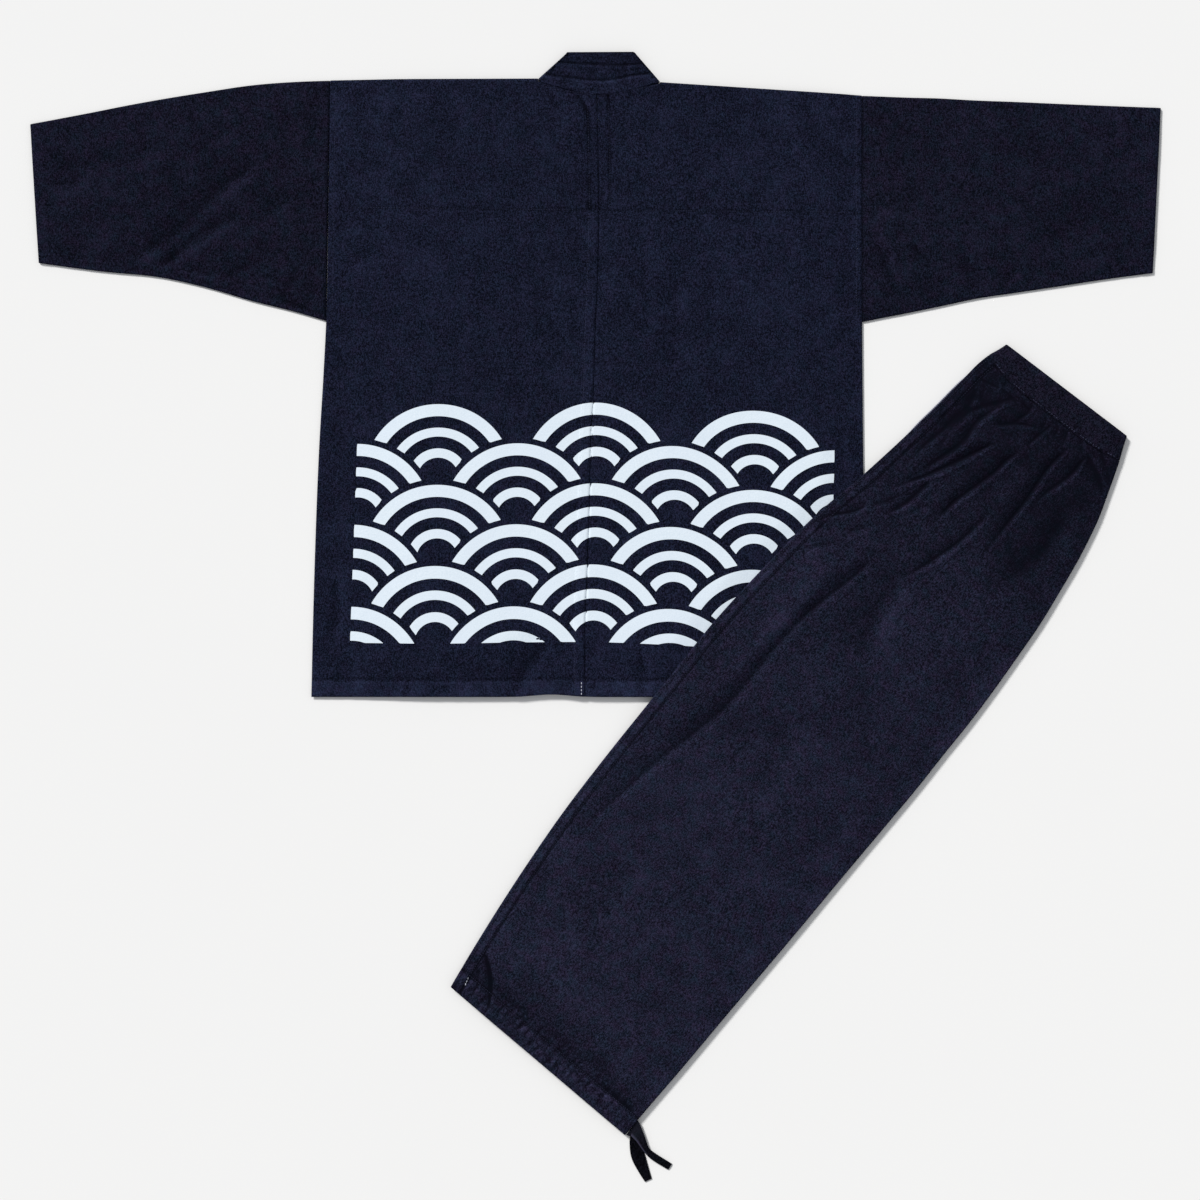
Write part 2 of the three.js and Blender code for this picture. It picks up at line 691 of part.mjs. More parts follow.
// the two free ends of the drawstring in the leg's hem: the short one comes out of the casing's mouth, over the long one
add(
  trousers,
  "hem_tie_long",
  ribbon(
    [
      { x: 47.2, y: -619.0, z: 0, wide: 10 },
      { x: 47.6, y: -631.0, z: 0, wide: 13.5 },
      { x: 51.2, y: -647.0, z: 0, wide: 16.5 },
      { x: 58.0, y: -664.0, z: 0, wide: 12.8 },
      { x: 63.5, y: -676.0, z: 0, wide: 9 },
    ],
    TIE_T,
  ),
  denimTie,
);
add(
  trousers,
  "hem_tie_short",
  ribbon(
    [
      { x: 43.7, y: -612.0, z: 2.8, wide: 22 },
      { x: 45.9, y: -613.7, z: 2.7, wide: 19 },
      { x: 53.2, y: -624.4, z: 2.4, wide: 12.5 },
      { x: 60.9, y: -638.6, z: 2.1, wide: 7.8 },
      { x: 69.4, y: -646.8, z: 1.3, wide: 8.6 },
      { x: 89.6, y: -659.8, z: 0, wide: 8.6 },
    ],
    TIE_T,
  ),
  denimTie,
);

export default suit;
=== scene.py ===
"""A two-piece indigo denim samue laid flat: cloth shells, creases, seams, stitches and a printed wave band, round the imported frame."""

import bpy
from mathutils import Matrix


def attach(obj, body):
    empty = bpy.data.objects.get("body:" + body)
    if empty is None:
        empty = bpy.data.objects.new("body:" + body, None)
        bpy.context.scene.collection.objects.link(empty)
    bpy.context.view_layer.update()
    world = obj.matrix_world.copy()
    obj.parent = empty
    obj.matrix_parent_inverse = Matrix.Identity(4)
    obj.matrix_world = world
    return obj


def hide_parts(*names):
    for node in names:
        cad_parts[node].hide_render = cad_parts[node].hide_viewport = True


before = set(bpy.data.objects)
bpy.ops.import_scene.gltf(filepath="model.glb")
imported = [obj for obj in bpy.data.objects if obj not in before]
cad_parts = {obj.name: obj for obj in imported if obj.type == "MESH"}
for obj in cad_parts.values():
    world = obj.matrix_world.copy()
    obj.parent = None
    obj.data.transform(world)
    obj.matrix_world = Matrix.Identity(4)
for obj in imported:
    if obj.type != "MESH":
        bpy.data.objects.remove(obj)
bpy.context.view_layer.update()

import math

import bpy
import numpy as np
from mathutils import Vector

MM = 0.001
U = 1.2  # the layout's own unit, in mm: rows below that say "at" are laid out in it
MID = (595.5, 617.5)  # the frame's origin in those units, x to the right and y down


def at(p):
    """A layout point, or a list of them, in the row frame's mm."""
    p = np.asarray(p, float)
    return np.stack([(p[..., 0] - MID[0]) * U, (MID[1] - p[..., 1]) * U], -1)


# ------------------------------------------------------------------ camera and light
scene = bpy.context.scene
cam = bpy.data.objects.new("camera", bpy.data.cameras.new("camera"))
scene.collection.objects.link(cam)
scene.camera = cam
VIEW_W = 1200 * U * MM
cam.data.sensor_width = 36
cam.data.lens = 85
cam.location = ((600 - MID[0]) * U * MM, (MID[1] - 600) * U * MM, VIEW_W * 85 / 36 + 0.004)
cam.data.clip_start, cam.data.clip_end = 0.05, 100

world = bpy.data.worlds.new("studio")
scene.world = world
world.use_nodes = True
world.node_tree.nodes["Background"].inputs["Color"].default_value = (0.95, 0.97, 1.0, 1)
world.node_tree.nodes["Background"].inputs["Strength"].default_value = 0.46
key = bpy.data.objects.new("key", bpy.data.lights.new("key", "SUN"))
key.data.energy, key.data.angle, key.data.color = 3.55, math.radians(12), (1.0, 0.985, 0.96)
key.location = (-2.6, 3.0, 2.9)
key.rotation_mode = "QUATERNION"
key.rotation_quaternion = (-Vector(key.location)).to_track_quat("-Z", "Y")
scene.collection.objects.link(key)
scene.view_settings.view_transform = "Standard"
scene.view_settings.look = "None"
scene.view_settings.exposure = 0
scene.view_settings.gamma = 1

# ------------------------------------------------------------------ sizes, in mm, as the solids have them
WALL, GAP, BAND = 1.2, 0.3, 2.0
HEM_Y = -95.4
FRONT_SLANT, FRONT_REACH = 0.42, 152
COLLAR_W, COLLAR_END_Y, FRONT_LIFT = 46, 120, 2.3
BAND_H, ELASTIC, LEG_LEN, UNDER_T, TIE_T = 31, 1.5, 1015.8, 3.0, 1.5
WAIST = np.array([564.6, 271.2])
LEG_DIR = np.array([-0.61957, -0.78494])
ACROSS = np.array([0.78494, -0.61957])

BACK_LIFT = [(-345, 1.5), (-318, 1.55), (-262, 2.6), (-205, 4.5), (-150, 4.6), (200, 4.6), (284, 4.0), (318, 1.5), (345, 1.5)]
SIDE = [  # y, left edge, right edge
    (-95.4, -341.1, 323.4), (-20, -339.5, 322.8), (70, -337.0, 322.0), (215, -331.2, 321.2), (285, -327.0, 320.6),
    (355, -323.4, 320.1), (500, -320.6, 319.8), (650, -318.6, 319.8),
]
SHOULDER = [(-320, 644.9), (-240, 646.4), (-69, 647.0), (77.4, 642.4), (320, 626.8)]
NECKLINE = [  # y, left, right
    (626.5, 1.65, 1.95), (629.9, -21, 32), (634.8, -41.5, 52), (639.2, -57, 68), (643.0, -68.7, 77.1),
]
TOP_L = [(-678.6, 592.6), (-617, 604.2), (-544, 618.4), (-465, 631.5), (-412, 639.3), (-359, 643.4), (-319, 644.8)]
UNDER_L = [(-668.4, 425.4), (-597, 415.8), (-518, 407.4), (-465, 395.4), (-412, 379.8), (-359, 366.4), (-323, 355.8)]
TOP_R = [(320.4, 626.6), (336, 626.0), (372, 624.6), (412, 623.5), (456, 621.1), (504, 619.3), (558, 616.9), (616, 614.5), (678.6, 612.1)]
UNDER_R = [(320.4, 354.6), (336, 357.8), (372, 364.8), (412, 373.0), (456, 382.4), (504, 389.6), (558, 397.6), (616, 406.4), (678.6, 414.6)]
LEG_EDGE = [  # s, inner, outer
    (0, -90.4, 90.4), (31, -99.8, 101.8), (48, -103.5, 107.3), (72, -106.2, 115.2), (108, -110.4, 127.6), (144, -115.6, 135.6), (192, -123.0, 142.8),
    (240, -131.4, 148.8), (288, -141.6, 151.8), (336, -148.8, 154.2), (384, -153.6, 155.4), (432, -157.8, 154.8),
    (480, -160.8, 154.8), (552, -161.4, 152.8), (624, -162.0, 150.6), (696, -162.2, 148.8), (768, -161.0, 146.4),
    (840, -156.6, 143.8), (912, -150.0, 141.6), (972, -143.0, 138.9), (1015.8, -137.0, 137.4),
]


# ------------------------------------------------------------------ small maths
def line(rows, col=1):
    """A table's column, straight between its rows."""
    xs, ys = [r[0] for r in rows], [r[col] for r in rows]
    return lambda v: np.interp(v, xs, ys)


def curve(rows, col=1):
    """A table's column, as a smooth line through its rows."""
    xs, ys = np.array([r[0] for r in rows], float), np.array([r[col] for r in rows], float)
    h = np.diff(xs)
    d = np.diff(ys) / h
    m = np.empty_like(ys)
    m[0], m[-1] = d[0], d[-1]
    m[1:-1] = (h[1:] * d[:-1] + h[:-1] * d[1:]) / (h[1:] + h[:-1])

    def f(v):
        v = np.clip(np.asarray(v, float), xs[0], xs[-1])
        i = np.clip(np.searchsorted(xs, v, "right") - 1, 0, len(h) - 1)
        t = (v - xs[i]) / h[i]
        return (
            (1 + 2 * t) * (1 - t) ** 2 * ys[i] + t * (1 - t) ** 2 * h[i] * m[i]
            + t * t * (3 - 2 * t) * ys[i + 1] + t * t * (t - 1) * h[i] * m[i + 1]
        )

    return f


def smooth(a, b, v):
    t = np.clip((np.asarray(v, float) - a) / (b - a), 0, 1)
    return t * t * (3 - 2 * t)


def noise(x, y, size, seed, stretch=(1, 1)):
    """Soft value noise, -1 to 1, on a lattice of that size in mm."""
    r = np.random.default_rng(seed).uniform(-1, 1, (128, 128))
    u, v = np.asarray(x, float) / (size * stretch[0]) + 37.3, np.asarray(y, float) / (size * stretch[1]) + 11.7
    i, j = np.floor(u).astype(int), np.floor(v).astype(int)
    a, b = u - i, v - j
    a, b = a * a * a * (a * (6 * a - 15) + 10), b * b * b * (b * (6 * b - 15) + 10)
    g = lambda p, q: r[p % 128, q % 128]
    return (g(i, j) * (1 - a) + g(i + 1, j) * a) * (1 - b) + (g(i, j + 1) * (1 - a) + g(i + 1, j + 1) * a) * b


def to_line(x, y, pts):
    """Signed distance to a line of points, and how far along it (0 to 1) the nearest place is."""
    pts = np.asarray(pts, float)
    seg = np.diff(pts, axis=0)
    length = np.linalg.norm(seg, axis=1)
    start = np.concatenate([[0], np.cumsum(length)])
    best, sign, along = np.full(np.shape(x), 1e9), np.zeros(np.shape(x)), np.zeros(np.shape(x))
    for k in range(len(seg)):
        dx, dy = x - pts[k, 0], y - pts[k, 1]
        t = np.clip((dx * seg[k, 0] + dy * seg[k, 1]) / length[k] ** 2, 0, 1)
        ox, oy = dx - t * seg[k, 0], dy - t * seg[k, 1]
        d = np.hypot(ox, oy)
        near = d < best
        best = np.where(near, d, best)
        sign = np.where(near, np.sign(seg[k, 0] * dy - seg[k, 1] * dx), sign)
        along = np.where(near, (start[k] + t * length[k]) / start[-1], along)
    return best * np.where(sign == 0, 1, sign), along


def soften(pts, n=6):
    """More points on a soft curve through a crease's few."""
    pts = np.asarray(pts, float)
    if len(pts) < 3:
        return pts
    k = np.arange(len(pts))
    rows_x, rows_y = [(i, p[0]) for i, p in zip(k, pts)], [(i, p[1]) for i, p in zip(k, pts)]
    t = np.linspace(0, len(pts) - 1, (len(pts) - 1) * n + 1)
    return np.stack([curve(rows_x)(t), curve(rows_y)(t)], -1)


def creased(x, y, rows):
    """The height that creases add at each point, and the painted light that goes with them. A row is (points in layout
    units, depth mm, half width mm, lip mm, ends):
    depth is down, so a ridge has a negative one; lip is the crest beside it; ends are the parts of its length over
    which it starts and stops.
    A trough goes down gently on its upper left side and comes up steeply on the other, to a narrow crest. The trough is
    painted darker (painted shade, with a dark line along its floor) and the crest lighter (painted highlight, partly a
    crease's wear); a ridge is painted lighter along its top (painted highlight, partly wear)."""
    z, wear_and_painted_light = np.zeros(np.shape(x)), np.zeros(np.shape(x))
    for i, (pts, depth, half, lip, ends) in enumerate(rows):
        p = soften(at(pts))
        reach = half * 5 + 4
        box = (x > p[:, 0].min() - reach) & (x < p[:, 0].max() + reach) & (y > p[:, 1].min() - reach) & (y < p[:, 1].max() + reach)
        if not box.any():
            continue
        d, a = to_line(x[box], y[box], p)
        run = p[-1] - p[0]
        d = d * (1 if run[0] + run[1] > 0 else -1)
        f = smooth(0, ends[0], a + 0.001) * (1 - smooth(1 - ends[1], 1.0, a))
        wide = half * (0.75 + 0.5 * np.sin(np.pi * a) + 0.16 * noise(x[box], y[box], 23, 500 + i))
        k = min(1.0, abs(depth) / 2.0)
        if depth > 0:
            body = np.where(d > 0, np.exp(-((np.abs(d) / (1.25 * wide)) ** 1.3)), np.exp(-((np.abs(d) / (0.5 * wide)) ** 2)))
            crest = np.exp(-(((d + 1.1 * wide) / (0.4 * wide)) ** 2))
            far = np.exp(-(((d - 2.9 * wide) / (1.3 * wide)) ** 2))
            line = min(1.0, (6.0 / half) ** 2) * np.exp(-((d / np.maximum(0.32 * wide, 1.25)) ** 2))
            z[box] += f * (1.15 * lip * crest + 0.5 * lip * far - CREASE_DEPTH * depth * body)
            # painted shade down the trough and a dark painted line along its floor; painted highlight on the crest,
            # partly wear
            wear_and_painted_light[box] += f * k * (1.0 * min(1.0, 2.6 * lip / depth) * crest - 0.85 * body - 1.6 * line)
        else:
            body = np.exp(-((d / wide) ** 2))
            z[box] -= f * depth * body
            # painted highlight along the ridge's top, partly wear
            wear_and_painted_light[box] += f * k * 0.5 * body
    return z, wear_and_painted_light


def soft_floor(h, low, k=0.35):
    """h, but never below low, with a soft turn."""
    return low + k * np.logaddexp(0, (h - low) / k)


# ------------------------------------------------------------------ creases: points, depth, half width, lip, ends
BACK_CREASES = [
    ([(395, 105), (400, 112), (406, 121)], 1.3, 4.5, 0.5, (0.3, 0.5)),
    ([(372, 112), (383, 121), (398, 128)], 0.5, 4, 0.2, (0.4, 0.5)),
    ([(334, 340), (341, 358), (352, 377)], 1.1, 5, 0.5, (0.2, 0.5)),
    ([(330, 322), (338, 333), (350, 341)], 0.8, 4, 0.3, (0.2, 0.6)),
    ([(640, 235), (644, 300), (641, 372)], 0.6, 7, 0.35, (0.4, 0.4)),
    ([(668, 222), (674, 300), (668, 396)], 0.7, 9, 0.4, (0.4, 0.4)),
    ([(712, 240), (708, 310), (716, 380)], 0.55, 8, 0.3, (0.4, 0.4)),
    ([(520, 232), (517, 290), (521, 350)], 0.45, 8, 0.2, (0.4, 0.4)),
    ([(452, 250), (458, 310), (450, 372)], 0.35, 10, 0.2, (0.5, 0.5)),
    ([(846, 326), (836, 344), (822, 358)], 0.9, 5, 0.4, (0.2, 0.6)),
    ([(858, 300), (840, 309), (816, 311)], 0.6, 5, 0.2, (0.2, 0.6)),
    ([(845, 415), (839, 445), (845, 480)], 0.5, 7, 0.3, (0.4, 0.4)),
    # the hem's folds
    ([(549, 636), (537, 651), (521, 672), (508, 699)], 2.9, 11, 0.6, (0.2, 0.05)),
    ([(560, 655), (556, 676), (549, 699)], -0.8, 8, 0, (0.4, 0.1)),
    ([(637, 644), (642, 664), (643, 698)], 1.3, 7, 0.7, (0.4, 0.1)),
    ([(664, 650), (672, 668), (668, 690)], 1.0, 8, 0.4, (0.4, 0.3)),
    ([(452, 662), (447, 680), (450, 699)], 0.6, 6, 0.3, (0.5, 0.1)),
    ([(404, 655), (410, 678), (406, 699)], 0.5, 7, 0.2, (0.5, 0.1)),
    ([(352, 652), (347, 676), (351, 699)], 0.5, 6, 0.2, (0.5, 0.1)),
    ([(331, 560), (335, 604), (327, 660)], 1.4, 7.5, 0.4, (0.4, 0.4)),
    ([(322, 470), (333, 500), (329, 545)], 0.5, 8, 0.2, (0.4, 0.4)),
    # under the collar
    ([(547, 87), (552, 98), (559, 110)], 1.9, 4.2, 0.5, (0.1, 0.4)),
    ([(571, 95), (575, 104), (577, 116)], 0.6, 3, 0.25, (0.1, 0.7)),
    ([(583, 97), (585, 108), (585, 124)], 0.6, 3, 0.25, (0.1, 0.7)),
    ([(612, 97), (613, 106), (611, 118)], 0.6, 3, 0.25, (0.1, 0.7)),
    ([(628, 95), (627, 104), (622, 114)], 0.7, 3.2, 0.25, (0.1, 0.7)),
    ([(647, 91), (643, 101), (636, 109)], 0.7, 3.4, 0.25, (0.1, 0.7)),
    # soft diagonals from the shoulders
    ([(440, 84), (452, 120), (447, 170)], 0.5, 12, 0.2, (0.3, 0.5)),
    ([(742, 92), (735, 130), (742, 180)], 0.45, 11, 0.2, (0.3, 0.5)),
    ([(800, 96), (812, 128), (818, 168)], 0.5, 9, 0.2, (0.2, 0.5)),
]
SLEEVE_CREASES = [
    ([(278, 147), (251, 165), (222, 184), (189, 217), (165, 236), (143, 250), (116, 259)], 2.6, 12, 0.7, (0.3, 0.2)),
    ([(247, 210), (222, 222), (196, 236), (178, 252), (163, 270)], 2.0, 8.5, 0.6, (0.3, 0.15)),
    ([(158, 266), (171, 257), (180, 246)], 2.0, 4.5, 0.6, (0.2, 0.4)),
    ([(255, 292), (285, 300), (318, 313)], 1.2, 4.5, 0.4, (0.3, 0.2)),
    ([(42, 146), (60, 158), (82, 168)], 1.0, 14, 0.1, (0.4, 0.4)),
    ([(302, 190), (275, 205), (252, 226)], 1.0, 8, 0.4, (0.4, 0.4)),
    ([(189, 266), (203, 272), (219, 276)], 1.2, 4, 0.5, (0.3, 0.4)),
    ([(262, 262), (240, 268), (222, 281)], 1.1, 6, 0.4, (0.4, 0.1)),
    ([(310, 262), (294, 276), (281, 300)], 1.0, 6, 0.4, (0.4, 0.1)),
    ([(319, 285), (309, 297), (300, 313)], 0.9, 5, 0.3, (0.4, 0.1)),
    ([(180, 128), (150, 150), (96, 160), (52, 164)], 0.7, 14, 0.2, (0.4, 0.3)),
    ([(92, 172), (70, 181), (44, 184)], 1.2, 10, 0.3, (0.4, 0.2)),
    ([(232, 118), (208, 142), (176, 166)], 0.8, 11, 0.3, (0.4, 0.4)),
    ([(300, 112), (288, 146), (296, 186)], 0.6, 9, 0.2, (0.4, 0.4)),
    # right sleeve
    ([(908, 240), (915, 249), (925, 260)], 1.3, 4.5, 0.4, (0.3, 0.3)),
    ([(962, 250), (968, 266), (968, 284)], 1.4, 4.5, 0.6, (0.3, 0.3)),
    ([(894, 248), (886, 258), (878, 269)], 1.1, 5, 0.4, (0.3, 0.3)),
    ([(872, 232), (884, 262), (900, 300)], 1.1, 8, 0.5, (0.3, 0.15)),
    ([(868, 190), (892, 206), (934, 214)], 0.8, 10, 0.3, (0.3, 0.5)),
    ([(1150, 200), (1112, 214), (1064, 226), (1030, 250)], 1.4, 21, 0.3, (0.3, 0.4)),
    ([(1146, 244), (1108, 248), (1070, 262)], 0.9, 10, 0.3, (0.2, 0.4)),
    ([(985, 120), (1010, 150), (1062, 170)], 0.7, 14, 0.2, (0.4, 0.4)),
    ([(1120, 112), (1108, 146), (1122, 178)], 0.6, 10, 0.2, (0.3, 0.4)),
    ([(1000, 292), (1010, 274), (1030, 262)], 0.8, 6, 0.3, (0.1, 0.5)),
    ([(884, 100), (902, 130), (936, 152)], 0.6, 10, 0.2, (0.2, 0.5)),
]
LEG_CREASES = [
    # the long fold beside the inseam, with the raised strip above it
    ([(872, 560), (849, 579), (823, 599), (800, 620), (772, 652)], 5.2, 6.4, 0.4, (0.12, 0.5)),
    ([(806, 612), (772, 650), (730, 700), (693, 732), (660, 757), (630, 784), (597, 816), (572, 846)], 4.3, 8.2, 0.3, (0.2, 0.3)),
    ([(846, 560), (812, 590), (776, 628), (730, 678), (694, 712)], -2.2, 9, 0, (0.3, 0.5)),
    ([(905, 566), (880, 604), (862, 640), (854, 688)], 1.9, 17, 0.5, (0.2, 0.5)),
    # gathers from the waistband
    ([(998, 441), (966, 457), (947, 466), (919, 478), (879, 492)], 3.4, 5.0, 1.2, (0.12, 0.35)),
    ([(1024, 448), (1008, 459), (992, 474), (959, 498), (935, 521)], 3.0, 4.6, 1.1, (0.2, 0.3)),
    ([(1071, 445), (1048, 468), (1024, 502), (1008, 522), (978, 560)], 2.7, 4.4, 1.0, (0.15, 0.4)),
    ([(935, 590), (943, 582), (951, 575)], -0.9, 5, 0, (0.3, 0.3)),
    ([(1086, 455), (1071, 474), (1044, 494), (1029, 510)], 2.2, 4.6, 0.9, (0.15, 0.45)),
    ([(1086, 452), (1090, 462), (1097, 476), (1104, 496)], 2.8, 4.6, 1.0, (0.2, 0.35)),
    ([(1052, 424), (1040, 434), (1024, 448)], 1.7, 3.6, 0.7, (0.2, 0.3)),
    ([(1041, 429), (1018, 424), (989, 426)], 1.7, 3.6, 0.6, (0.25, 0.3)),
    ([(997, 504), (978, 523), (960, 540), (939, 555), (914, 571), (891, 582)], 2.4, 5.0, 0.9, (0.3, 0.3)),
    ([(978, 379), (967, 408), (949, 430), (932, 458)], 1.1, 6, 0.4, (0.2, 0.4)),
    ([(976, 377), (990, 384), (1002, 390)], 1.1, 3, 0.4, (0.3, 0.3)),
    ([(1002, 388), (1012, 399), (1020, 412)], 1.0, 3, 0.4, (0.2, 0.4)),
    ([(1012, 392), (1024, 405), (1033, 415)], 0.9, 2.8, 0.4, (0.2, 0.4)),
    ([(958, 402), (975, 396), (992, 404)], 1.2, 8, 0.3, (0.4, 0.4)),
    ([(962, 493), (948, 507), (932, 523)], 1.5, 4, 0.5, (0.3, 0.4)),
    ([(934, 477), (922, 488), (905, 503), (878, 518)], 2.0, 4.8, 0.8, (0.2, 0.35)),
    ([(1022, 396), (1000, 402), (972, 410), (948, 431)], 1.5, 6, 0.5, (0.2, 0.4)),
    ([(1006, 402), (978, 420), (962, 442), (935, 461), (906, 480)], 2.3, 5.5, 0.9, (0.2, 0.35)),
    ([(968, 404), (944, 428), (922, 447), (900, 468)], 1.6, 5, 0.6, (0.2, 0.4)),
    ([(1033, 404), (1026, 414), (1010, 424)], 1.4, 3.5, 0.6, (0.1, 0.5)),
    ([(1068, 430), (1064, 440), (1058, 452)], 1.2, 3.4, 0.5, (0.1, 0.6)),
    ([(1100, 450), (1103, 460), (1108, 474)], 1.4, 3.6, 0.6, (0.1, 0.6)),
    ([(1046, 416), (1044, 424), (1036, 434)], 1.0, 3.2, 0.5, (0.1, 0.6)),
    ([(1057, 421), (1056, 432), (1048, 444)], 0.9, 3.0, 0.4, (0.1, 0.6)),
    ([(1080, 438), (1081, 448), (1078, 460)], 1.1, 3.2, 0.5, (0.1, 0.6)),
    ([(1093, 446), (1093, 456), (1097, 466)], 0.9, 3.0, 0.4, (0.1, 0.6)),
    # raised parts between the gathers
    ([(1040, 462), (1012, 488), (988, 520)], -1.5, 10, 0, (0.4, 0.5)),
    ([(1010, 436), (985, 440), (955, 455)], -1.0, 8, 0, (0.4, 0.5)),
    # crotch
    ([(818, 524), (826, 516), (843, 513), (857, 510), (872, 500)], 2.0, 4.2, 0.9, (0.15, 0.3)),
    ([(866, 506), (884, 502), (905, 492)], 1.2, 4.5, 0.5, (0.3, 0.4)),
    ([(838, 536), (858, 528), (884, 522)], 1.2, 7, 0.4, (0.3, 0.5)),
    ([(800, 548), (820, 545), (846, 540)], 1.0, 6, 0.3, (0.2, 0.5)),
    # broad soft troughs
    ([(1068, 498), (1052, 536), (1024, 566), (982, 596)], 2.5, 17, 0.6, (0.3, 0.4)),
    ([(1092, 520), (1078, 570), (1050, 620)], -1.4, 20, 0, (0.4, 0.5)),
    ([(940, 600), (900, 640), (872, 690)], -1.2, 22, 0, (0.4, 0.5)),
    ([(990, 640), (960, 690), (915, 740)], 0.9, 22, 0.3, (0.4, 0.5)),
    ([(800, 700), (770, 760), (728, 822)], 1.0, 20, 0.4, (0.4, 0.5)),
    ([(860, 780), (820, 830), (770, 880)], 0.8, 24, 0.3, (0.5, 0.5)),
    ([(650, 830), (620, 880), (584, 930)], 0.9, 16, 0.4, (0.4, 0.5)),
    ([(700, 960), (664, 1000), (640, 1040)], 0.7, 20, 0.3, (0.4, 0.5)),
    # hem corners
    ([(481, 944), (487, 962), (491, 982), (488, 1010)], 4.4, 5.6, 0.3, (0.3, 0.1)),
    ([(483, 946), (489, 966), (491, 986), (489, 1007)], 3.0, 2.8, 0.2, (0.2, 0.1)),
    ([(476, 962), (478, 976), (474, 996)], 1.2, 4, 0.5, (0.3, 0.2)),
    ([(497, 990), (512, 1003), (532, 1018)], 1.1, 6, 0.4, (0.3, 0.4)),
    ([(598, 1082), (612, 1092), (634, 1112)], 2.0, 5, 0.8, (0.3, 0.2)),
    ([(580, 1050), (600, 1062), (622, 1084)], 0.9, 8, 0.3, (0.4, 0.4)),
]
GATHERS = [  # across the leg's hem casing: how far along the hem from its inner end (layout units), depth, half width, lean
    (9, 1.2, 2.6, 0.1), (21, 0.7, 2.2, -0.1), (33, 1.3, 3.0, 0.3), (44, 0.9, 2.4, 0.2), (52, 0.6, 2.0, 0.4), (61, 1.2, 2.8, 0.1),
    (70, 0.8, 2.4, 0.35), (79, 1.3, 2.6, 0.2), (87, 0.7, 2.0, 0.3), (96, 1.4, 3.0, 0.15), (106, 0.9, 2.4, 0.4), (113, 0.6, 2.0, 0.1),
    (122, 1.5, 3.0, 0.3), (131, 0.9, 2.4, 0.2), (139, 1.2, 2.6, 0.45), (148, 0.8, 2.2, 0.1), (158, 1.6, 3.2, 0.35), (168, 1.0, 2.6, 0.2),
    (176, 0.7, 2.2, 0.3), (186, 1.3, 3.0, 0.1), (196, 0.9, 2.6, 0.3), (206, 1.1, 2.6, 0.2), (216, 0.8, 2.4, 0.1),
]


CREASE_DEPTH = 1.15

# ------------------------------------------------------------------ heights
lift = curve(BACK_LIFT)
side_l, side_r = curve(SIDE, 1), curve(SIDE, 2)
shoulder = line(SHOULDER)
inner_w, outer_w = curve(LEG_EDGE, 1), curve(LEG_EDGE, 2)
CENTRE = [  # y, x of the centre-back seam
    (-95.4, -12.6), (3, -12.1), (57, -9.9), (153, -6.8), (225, -5.0), (256, -3.0), (357, 0.3), (399, 2.3), (435, 3.3), (486, 4.2), (560, 3.4), (626.5, 1.8),
]
centre_seam = curve(CENTRE)
collar_seam_l = lambda y: -69 + FRONT_SLANT * (646.2 - y)
collar_seam_r = lambda y: 77.4 - FRONT_SLANT * (642.4 - y)
inner_front = lambda x: FRONT_LIFT * (1 - smooth(292, 319, x))
YOKE_Y = line([(-320, (617.5 - 207) * U), (0, (617.5 - 210.5) * U), (320, (617.5 - 212.5) * U)])
NECK_LINE = [(543, 83), (551, 86.5), (560, 88.6), (580, 91), (600, 92), (618, 90.8), (635, 87.4), (650, 84.8), (660, 83)]


def bow(w):
    """The elastic draws the waist seam into a bow, furthest from the waist in the middle."""
    w = np.asarray(w, float)
    return np.maximum(-12, 5.2 - np.where(w < 10, 14.2 * ((10 - w) / 112) ** 4, 10 * ((w - 10) / 98) ** 4))


def lean(s, w):
    """Neither end of the trousers is cut square: the waist and the hem both reach further at the outer edge."""
    waist = bow(w) * smooth(0, BAND_H, s) * (1 - smooth(BAND_H, 130, s)) - 3.3 * np.clip((w + 90) / 190, 0, 1) * (1 - smooth(0, 260, s))
    return waist + smooth(640, LEG_LEN, s) * (2.4 + 9.9 * np.clip((w + 137) / 274, 0, 1))


def xy_of(s, w):
    s, w = np.asarray(s, float), np.asarray(w, float)
    s = s + lean(s, w)
    return WAIST[0] + LEG_DIR[0] * s + ACROSS[0] * w, WAIST[1] + LEG_DIR[1] * s + ACROSS[1] * w


def leg_sw(x, y):
    dx, dy = x - WAIST[0], y - WAIST[1]
    far, w = dx * LEG_DIR[0] + dy * LEG_DIR[1], dx * ACROSS[0] + dy * ACROSS[1]
    s = far
    for _ in range(5):
        s = far - lean(s, w)
    return s, w


def clear_of_leg(x, y):
    """0 under the trousers, 1 a little way outside them."""
    s, w = leg_sw(x, y)
    out = np.maximum(inner_w(s) - w, 31 - s)
    return smooth(0, 26, out)


def upper_row(y):
    """How far left of the centre seam the yoke's left row of stitches is: it bends away below the collar."""
    return 11.5 + 13 * smooth(604, 632, y)


